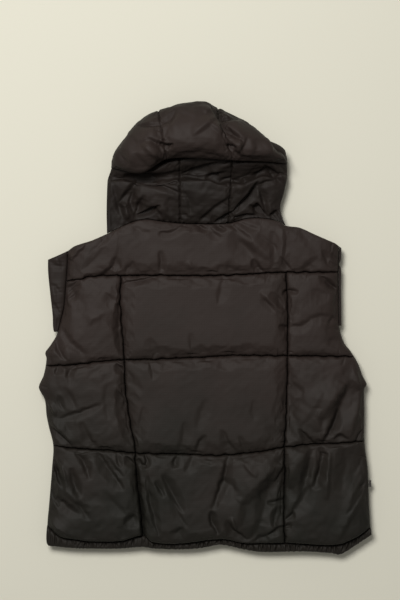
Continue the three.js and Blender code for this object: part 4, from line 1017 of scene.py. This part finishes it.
def build_front_hems():
    """The fronts' gathered hem bands, whose pleats lift them off the table."""
    hems = []
    for name, side in (("left", -1), ("right", 1)):
        grid = front_grid(side, HEM_LEVELS[0], front_hem_seam, 120, 10)
        v = np.linspace(0, 1, grid.shape[0])[:, None]
        crush = gather_relief(grid[..., 0], v, 120 + side)
        body = np.sin(np.pi * v) ** 0.6
        room = np.clip((FRONT_INSIDE - 2 - grid[..., 2]) / 6, 0, 1)
        grid[..., 2] += 1.4 * body * room * np.maximum(crush, 0)
        hems.append(plain_backed_panel(f"hem_front_{name}_shell", grid, FRONT_INSIDE))
    return hems


# ---------------------------------------------------------------- layers folded under the hood
# Plan and height: [y, x of left edge, x of right edge, top].
HIDDEN_FOLDS = np.array([
    [112, -58, 58, 19.4], [122, -82, 82, 19.4], [145, -106, 100, 19.4], [168, -126, 112, 19.4],
    [186, -148, 124, 18.6], [215, -160, 126, 21], [260, -160, 134, 24], [300, -155, 134, 25.5],
    [335, -136, 112, 26.5], [362, -112, 74, 26.5], [380, -84, 34, 25.5], [389, -52, 10, 22],
])
LAYERS = 3                       # folded layers that show at the edge
LAYER_INSET = 3.4                # how far the cloth tucks in between two of them
RIM_LINES = 14


def build_hidden_folds():
    """A flat-bottomed pad whose side is the edges of three folded layers, one over the other:
    the rim goes in and out with half a sine wave for each layer."""
    y_rows = HIDDEN_FOLDS[:, 0]
    left, right, top = (smooth_line(HIDDEN_FOLDS[:, [0, k]]) for k in (1, 2, 3))
    y = mix(y_rows[0], y_rows[-1], gathered([84], 0.5))[:, None]
    u = gathered([66], 0.5)[None, :]
    x = mix(left(y), right(y), u)
    y = y + 0 * x
    under_hood = np.clip((y - 165) / 30, 0, 1)
    flattened = mix(0.3, 1, rounded_edge(np.minimum(u, 1 - u), 0.36))
    height = HOOD_SIDE_HEIGHT + (top(y) - HOOD_SIDE_HEIGHT) * mix(1, flattened, under_hood)
    inside = inward_fade(*x.shape, 5)
    height -= inside * (0.9 + 0.8 * noise(x, y, 40.0, 15))
    face = np.stack([x, y, height], -1)
    rows, columns = x.shape
    loop = edge_loop(rows, columns)
    edge = face.reshape(-1, 3)[loop]
    middle = edge[:, :2].mean(0)
    outward = edge[:, :2] - middle
    outward /= np.linalg.norm(outward, axis=1, keepdims=True)
    around = np.cumsum(np.linalg.norm(np.diff(edge, axis=0, append=edge[:1]), axis=1))
    lines = []
    for number in range(1, RIM_LINES + 1):
        share = 1 - number / RIM_LINES
        tuck = LAYER_INSET * (1 - np.abs(np.sin(np.pi * LAYERS * share))) + 0.3
        tuck = tuck + 0.5 * np.sin(around / 19.0 + 5 * share)
        tuck = np.maximum(tuck, 0.2)
        line = edge.copy()
        line[:, :2] -= outward * tuck[:, None]
        line[:, 2] *= share
        lines.append(line)
    points = np.concatenate([face.reshape(-1, 3), *lines])
    count = rows * columns
    rings = [loop] + [count + k * len(loop) + np.arange(len(loop)) for k in range(RIM_LINES)]
    faces = grid_faces(rows, columns).tolist()
    for above, below in zip(rings, rings[1:]):
        faces += np.stack([above, below, np.roll(below, -1), np.roll(above, -1)], -1).tolist()
    faces.append(rings[-1][::-1].tolist())
    return make_object("hood_hidden_folds_shell", points, faces)


# ---------------------------------------------------------------- zip and tab
ZIP_BOTTOM, ZIP_TOP = -384.0, 88.0
TAPE_HIGH = 14.5
CHAIN_LOW, CHAIN_HIGH = 10.5, 16.5
CHAIN_HALF_WIDTH = 3.0
TOOTH_PITCH = 3.2
TAB_MIDDLE = (293.6, -276.0, 20.0)
TAB_LENGTH, TAB_WIDTH = 4.4, 12.0
RIBBON = 0.55                    # half the folded ribbon's thickness


def crowned_blocks(centres, size, name):
    """Many small blocks as one mesh: each has eight corners, and a ninth and a tenth point that
    crown its top and its bottom."""
    corners = np.array([[x, y, z] for z in (-1, 1) for y in (-1, 1) for x in (-1, 1)], float)
    corners *= 0.5, 0.5, 0.35
    crowns = np.array([[0, 0, -0.5], [0, 0, 0.5]])
    unit = np.concatenate([corners, crowns])
    sides = [(0, 1, 5, 4), (1, 3, 7, 5), (3, 2, 6, 7), (2, 0, 4, 6)]
    caps = [(1, 0, 8), (3, 1, 8), (2, 3, 8), (0, 2, 8), (4, 5, 9), (5, 7, 9), (7, 6, 9), (6, 4, 9)]
    points = centres[:, None, :] + unit[None] * size
    starts = 10 * np.arange(len(centres))
    faces = [tuple(start + k for k in face) for start in starts for face in sides + caps]
    return make_object(name, points.reshape(-1, 3), faces, smooth=False)


def build_zip(side):
    """Half a closed zip: a woven tape folded from a rounded strip, and its row of teeth, which
    stand half a pitch off the other row's."""
    u, y = np.meshgrid(np.linspace(0, 1, 9), np.linspace(ZIP_BOTTOM, ZIP_TOP, 150))
    x = mix(CHAIN_HALF_WIDTH - 1.2, ZIP_HALF_WIDTH, u)
    ripple = 0.2 * np.sin(y / 14.0 + side) * u
    thickness = 0.45 + 0.5 * np.exp(-(u / 0.16) ** 2)
    middle = (TAPE_LOW + TAPE_HIGH) / 2 + ripple
    upper = np.stack([side * x, y, middle + thickness], -1)
    lower = np.stack([side * x, y, middle - thickness], -1)
    if side < 0:
        upper, lower = upper[:, ::-1], lower[:, ::-1]
    name = "left" if side < 0 else "right"
    tape = closed_panel(f"zip_{name}_tape", upper, lower)
    start = ZIP_BOTTOM + 2 + (TOOTH_PITCH / 2 if side > 0 else 0)
    places = np.arange(start, ZIP_TOP - 1.2, TOOTH_PITCH)
    centres = np.stack([np.full_like(places, side * 1.7), places,
                        np.full_like(places, (CHAIN_LOW + CHAIN_HIGH) / 2)], -1)
    size = np.array([3.0, 1.5, CHAIN_HIGH - CHAIN_LOW - 0.4])
    return tape, crowned_blocks(centres, size, f"zip_{name}_teeth")


def build_tab():
    """A small blank loop of ribbon in the side seam: one strip folded in half, carried along a
    hairpin path and closed at its cut ends by the seam."""
    turn = np.linspace(-np.pi / 2, np.pi / 2, 9)
    straight = np.linspace(-0.5, 0.5, 7)[:-1]
    reach = TAB_LENGTH - RIBBON
    back = straight[::-1]
    ring_x = np.concatenate([straight * reach, reach / 2 + RIBBON * np.cos(turn), back * reach])
    ring_z = np.concatenate([0 * straight - RIBBON, RIBBON * np.sin(turn), 0 * back + RIBBON])
    width = np.linspace(-TAB_WIDTH / 2, TAB_WIDTH / 2, 13)
    x = ring_x[None, :] + TAB_MIDDLE[0] + 0 * width[:, None]
    y = width[:, None] + TAB_MIDDLE[1] + 0.25 * np.sin(ring_x[None, :] * 2)
    z = ring_z[None, :] + TAB_MIDDLE[2] + 0.3 * np.sin(width[:, None] / 2.4)
    rows, columns = x.shape
    index = np.arange(rows * columns).reshape(rows, columns)
    after = np.roll(index, -1, axis=1)
    faces = np.stack([index[:-1], index[1:], after[1:], after[:-1]], -1).reshape(-1, 4).tolist()
    faces += [index[0].tolist(), index[-1][::-1].tolist()]
    return make_object("side_tab_ribbon", np.stack([x, y, z], -1).reshape(-1, 3), faces)


# ---------------------------------------------------------------- stitches
STITCH_LENGTH, STITCH_GAP = 3.0, 1.1
THREAD = 0.35                    # half the thread's thickness


def stitch_row(points):
    """Evenly spaced stitches along a line of points: the two ends of each."""
    lengths = np.linalg.norm(np.diff(points, axis=0), axis=1)
    travelled = np.append(0, np.cumsum(lengths))
    starts = np.arange(1.0, travelled[-1] - STITCH_LENGTH - 1.0, STITCH_LENGTH + STITCH_GAP)
    ends = starts + STITCH_LENGTH
    read = [np.stack([np.interp(at, travelled, points[:, k]) for k in range(3)], -1)
            for at in (starts, ends)]
    return np.stack(read, 1)


def build_stitches(name, rows):
    """Stitches as one mesh. Each is a spindle of four-sided rings, thin where the thread goes in
    at its two ends and full in between, and it arches a little over the cloth."""
    pairs = np.concatenate([stitch_row(row) for row in rows])
    share = np.array([0.0, 0.22, 0.78, 1.0])
    full = np.array([0.35, 1.0, 1.0, 0.35]) * THREAD
    arch = np.array([-0.25, 0.3, 0.3, -0.25])
    way = pairs[:, 1] - pairs[:, 0]
    way /= np.linalg.norm(way, axis=1, keepdims=True)
    up = np.array([0.0, 0.0, 1.0])
    across = np.cross(way, up)
    across /= np.linalg.norm(across, axis=1, keepdims=True)
    over = np.cross(across, way)
    centre = pairs[:, :1] + (pairs[:, 1:] - pairs[:, :1]) * share[None, :, None]
    centre = centre + over[:, None] * (arch + THREAD)[None, :, None]
    ring = [across[:, None] * full[None, :, None], over[:, None] * full[None, :, None]]
    points = np.stack([centre + ring[0], centre + ring[1], centre - ring[0], centre - ring[1]], 2)
    index = np.arange(points.shape[0] * 16).reshape(-1, 4, 4)
    after = np.roll(index, -1, axis=2)
    sides = np.stack([index[:, :-1], after[:, :-1], after[:, 1:], index[:, 1:]], -1)
    caps = np.stack([index[:, 0, ::-1], index[:, -1]], 1).reshape(-1, 4)
    faces = sides.reshape(-1, 4).tolist() + caps.tolist()
    return make_object(name, points.reshape(-1, 3), faces)


# ---------------------------------------------------------------- materials
def linear(hex_colour):
    """sRGB hex to linear red, green, blue and alpha."""
    parts = [int(hex_colour[k:k + 2], 16) / 255 for k in (1, 3, 5)]
    return [c / 12.92 if c <= 0.04045 else ((c + 0.055) / 1.055) ** 2.4 for c in parts] + [1.0]


def add_node(tree, kind, links=(), **settings):
    """Adds a node, sets its properties or inputs by name, and links [(input, output socket)]."""
    node = tree.nodes.new(kind)
    for key, value in settings.items():
        if hasattr(node, key):
            setattr(node, key, value)
        else:
            node.inputs[key.replace("_", " ")].default_value = value
    for name, output in links:
        tree.links.new(output, node.inputs[name])
    return node


def new_material(name, **uniform):
    """A material whose uniform values are set on the shader's own sockets, by name."""
    material = bpy.data.materials.new(name)
    material.use_nodes = True
    tree = material.node_tree
    shader = tree.nodes["Principled BSDF"]
    for key, value in uniform.items():
        shader.inputs[key.replace("_", " ")].default_value = value
    return material, tree, shader


def nylon_shell(name, dark, pale, up="Y", low=-0.30, high=0.02):
    """Plain-woven nylon, down-proof and lightly calendered, which gives it a soft, low sheen. Its
    colour goes from dark to pale between low and high along one axis, and that is painted light: a
    painted sheen, paler up the back and darker towards the hem, and painted shade on the hood's
    nape, darker low down under the crown. Over that the colour drifts in soft patches.
    The real threads are 0.2 mm apart; they are drawn 3 mm apart, so that a weave shows at all."""
    material, tree, shader = new_material(name, Roughness=0.62, Specular_IOR_Level=0.18)
    place = add_node(tree, "ShaderNodeTexCoord").outputs["Object"]
    parts = add_node(tree, "ShaderNodeSeparateXYZ", [("Vector", place)])
    # painted light: the pale share grows along the axis, a painted sheen down the body and painted
    # shade under the hood's crown
    height = add_node(tree, "ShaderNodeMapRange", [("Value", parts.outputs[up])],
                      From_Min=low, From_Max=high, To_Min=0.0, To_Max=0.62)
    drift = add_node(tree, "ShaderNodeTexNoise", [("Vector", place)], Scale=11.0, Detail=3.0)
    drift_and_painted_light = add_node(tree, "ShaderNodeMath", operation="MULTIPLY_ADD",
                        links=[(0, drift.outputs["Fac"]), (2, height.outputs["Result"])])
    drift_and_painted_light.inputs[1].default_value = 0.8
    colours = add_node(tree, "ShaderNodeValToRGB", [("Fac", drift_and_painted_light.outputs[0])])
    for stop, position, colour in zip(colours.color_ramp.elements, (0.34, 1.0), (dark, pale)):
        stop.position = position
        stop.color = linear(colour)
    tree.links.new(colours.outputs["Color"], shader.inputs["Base Color"])
    weave_bump(tree, shader, place, 105.0, 0.35)
    return material


def weave_bump(tree, shader, place, scale, strength):
    """Crossed threads in low relief, with a faint rumple of the cloth over them. A band scale of
    100 draws threads 3 mm apart."""
    warp, weft = (add_node(tree, "ShaderNodeTexWave", [("Vector", place)], bands_direction=way,
                           Scale=scale, Distortion=1.2).outputs["Fac"] for way in "XY")
    threads = add_node(tree, "ShaderNodeMath", [(0, warp), (1, weft)], operation="MAXIMUM")
    grain = add_node(tree, "ShaderNodeBump", [("Height", threads.outputs[0])],
                     Strength=strength, Distance=0.0002)
    rumple = add_node(tree, "ShaderNodeTexNoise", [("Vector", place)], Scale=110.0, Detail=3.0)
    soft = add_node(tree, "ShaderNodeBump",
                    [("Height", rumple.outputs["Fac"]), ("Normal", grain.outputs["Normal"])],
                    Strength=0.12, Distance=0.0012)
    tree.links.new(soft.outputs["Normal"], shader.inputs["Normal"])


def woven_band(name, colour, scale, roughness):
    """Woven polyester of one colour, for tape and ribbon: matt, with its threads seen. They are
    drawn 1 to 2 mm apart, coarser than life, to show."""
    material, tree, shader = new_material(name, Base_Color=linear(colour), Roughness=roughness,
                                          Specular_IOR_Level=0.3)
    place = add_node(tree, "ShaderNodeTexCoord").outputs["Object"]
    weave_bump(tree, shader, place, scale, 0.8)
    return material


def moulded_teeth():
    """Black moulded acetal: smooth, a little glossy, finely scratched on top."""
    material, tree, shader = new_material("moulded_acetal_teeth", Base_Color=linear("#141313"))
    place = add_node(tree, "ShaderNodeTexCoord").outputs["Object"]
    scratch = add_node(tree, "ShaderNodeTexNoise", [("Vector", place)], Scale=600.0, Detail=2.0)
    gloss = add_node(tree, "ShaderNodeMapRange", [("Value", scratch.outputs["Fac"])],
                     To_Min=0.25, To_Max=0.5)
    tree.links.new(gloss.outputs["Result"], shader.inputs["Roughness"])
    return material


def blackened_zinc():
    """Die-cast zinc under black lacquer, which is rubbed through to grey metal in small spots."""
    material, tree, shader = new_material("blackened_zinc", Metallic=0.85, Roughness=0.36)
    place = add_node(tree, "ShaderNodeTexCoord").outputs["Object"]
    spots = add_node(tree, "ShaderNodeTexNoise", [("Vector", place)], Scale=350.0, Detail=4.0)
    rubbed = add_node(tree, "ShaderNodeValToRGB", [("Fac", spots.outputs["Fac"])])
    stops = zip(rubbed.color_ramp.elements, (0.6, 0.78), ("#1b1b1c", "#77777a"))
    for stop, position, colour in stops:
        stop.position = position
        stop.color = linear(colour)
    tree.links.new(rubbed.outputs["Color"], shader.inputs["Base Color"])
    return material


def sewing_thread():
    """Spun polyester thread, black: its twist is drawn as slanting bands 1 mm apart."""
    material, tree, shader = new_material("polyester_thread", Base_Color=linear("#12100f"),
                                          Roughness=0.7)
    place = add_node(tree, "ShaderNodeTexCoord").outputs["Object"]
    twist = add_node(tree, "ShaderNodeTexWave", [("Vector", place)], bands_direction="DIAGONAL",
                     Scale=310.0)
    bump = add_node(tree, "ShaderNodeBump", [("Height", twist.outputs["Fac"])],
                    Strength=0.5, Distance=0.0001)
    tree.links.new(bump.outputs["Normal"], shader.inputs["Normal"])
    return material


def pale_laminate():
    """A plain pale laminate: warm light grey, nearly matte."""
    return new_material("pale_laminate", Base_Color=linear("#d8d6c8"), Roughness=0.75)[0]


# ---------------------------------------------------------------- camera, table and light
CAMERA_X, CAMERA_Y = -9.0, 50.0       # straight above the middle of the view
CAMERA_HEIGHT = 3000.0
VIEW_HEIGHT = 1068.0                  # what the view's height covers at the side seams' level
SIDE_SEAM_LEVEL = 20.0
TABLE_REACH = 12000.0                 # from the middle to each side
PANEL_LIGHT = (-0.75, 1.3, 2.9)       # in metres, like PANEL_SIZE
PANEL_SIZE = 1.2
PANEL_POWER = 92
ROOM_LIGHT = 0.25


def add_camera():
    """A camera straight above and far off, whose lens takes in the view's height."""
    camera = bpy.data.cameras.new("camera")
    camera.sensor_width = 36.0
    camera.lens = 36.0 * (CAMERA_HEIGHT - SIDE_SEAM_LEVEL) / VIEW_HEIGHT
    camera.clip_end = 20.0
    holder = bpy.data.objects.new("camera", camera)
    holder.location = (CAMERA_X * MM, CAMERA_Y * MM, CAMERA_HEIGHT * MM)
    bpy.context.scene.collection.objects.link(holder)
    bpy.context.scene.camera = holder


def add_table(material):
    """A flat floor, far wider than the view."""
    corners = TABLE_REACH * np.array([[-1, -1, 0], [1, -1, 0], [1, 1, 0], [-1, 1, 0]])
    table = make_object("table", corners, [(0, 1, 2, 3)], smooth=False)
    table.data.materials.append(material)


def add_lights():
    """A soft square panel high over the vest, a little beyond its hood and to the left and turned
    to its middle, in a pale room."""
    light = bpy.data.lights.new("panel", "AREA")
    light.size = PANEL_SIZE
    light.energy = PANEL_POWER
    light.color = (1.0, 0.985, 0.955)
    holder = bpy.data.objects.new("panel", light)
    holder.location = PANEL_LIGHT
    holder.rotation_euler = (-Vector(PANEL_LIGHT)).to_track_quat("-Z", "Y").to_euler()
    bpy.context.scene.collection.objects.link(holder)
    world = bpy.data.worlds.new("room")
    world.use_nodes = True
    room = world.node_tree.nodes["Background"].inputs
    room["Color"].default_value = linear("#fbf9f3")
    room["Strength"].default_value = ROOM_LIGHT
    bpy.context.scene.world = world
    bpy.context.scene.view_settings.view_transform = "Standard"


# ---------------------------------------------------------------- putting the pieces on
def put_on(pieces, material, stand_in=True):
    """Gives pieces their material and their body. A piece that stands in for a solid is named as
    the solid is, with one word more, and that solid is hidden."""
    for piece in pieces:
        piece.data.materials.append(material)
        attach(piece, "garment")
        if stand_in:
            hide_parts(piece.name.rpartition("_")[0])


add_camera()
add_table(pale_laminate())
add_lights()
# The body's and the binding's colours grow paler up the body, a painted sheen; the hood's grows
# paler with height, painted shade on the nape under the crown.
SHELL_NYLON = nylon_shell("nylon_shell", "#1b1a16", "#2a221f")
HOOD_NYLON = nylon_shell("nylon_hood_shell", "#1b1613", "#2a221f", "Z", 0.045, 0.085)
BINDING_NYLON = nylon_shell("nylon_binding", "#1f1c18", "#231c19")
ZIP_TAPE = woven_band("woven_polyester_tape", "#161415", 260.0, 0.7)
ACETAL = moulded_teeth()
SATIN = woven_band("satin_ribbon", "#3a3734", 160.0, 0.5)

back, quilting = build_back()
put_on(back, SHELL_NYLON)
put_on([build_stitches("back_quilting", quilting)], sewing_thread(), stand_in=False)
put_on(build_hood(), HOOD_NYLON)
put_on([build_hidden_folds()], HOOD_NYLON)
put_on([build_hem()], BINDING_NYLON)
put_on(build_bands(), BINDING_NYLON)
put_on(build_fronts(), SHELL_NYLON)
put_on(build_front_hems(), BINDING_NYLON)
for side in (-1, 1):
    tape, teeth = build_zip(side)
    put_on([tape], ZIP_TAPE)
    put_on([teeth], ACETAL, stand_in=False)
put_on([build_tab()], SATIN)
ZINC = blackened_zinc()
for name in ("zip_slider", "zip_pull"):
    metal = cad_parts[name].data.materials
    metal.clear()
    metal.append(ZINC)
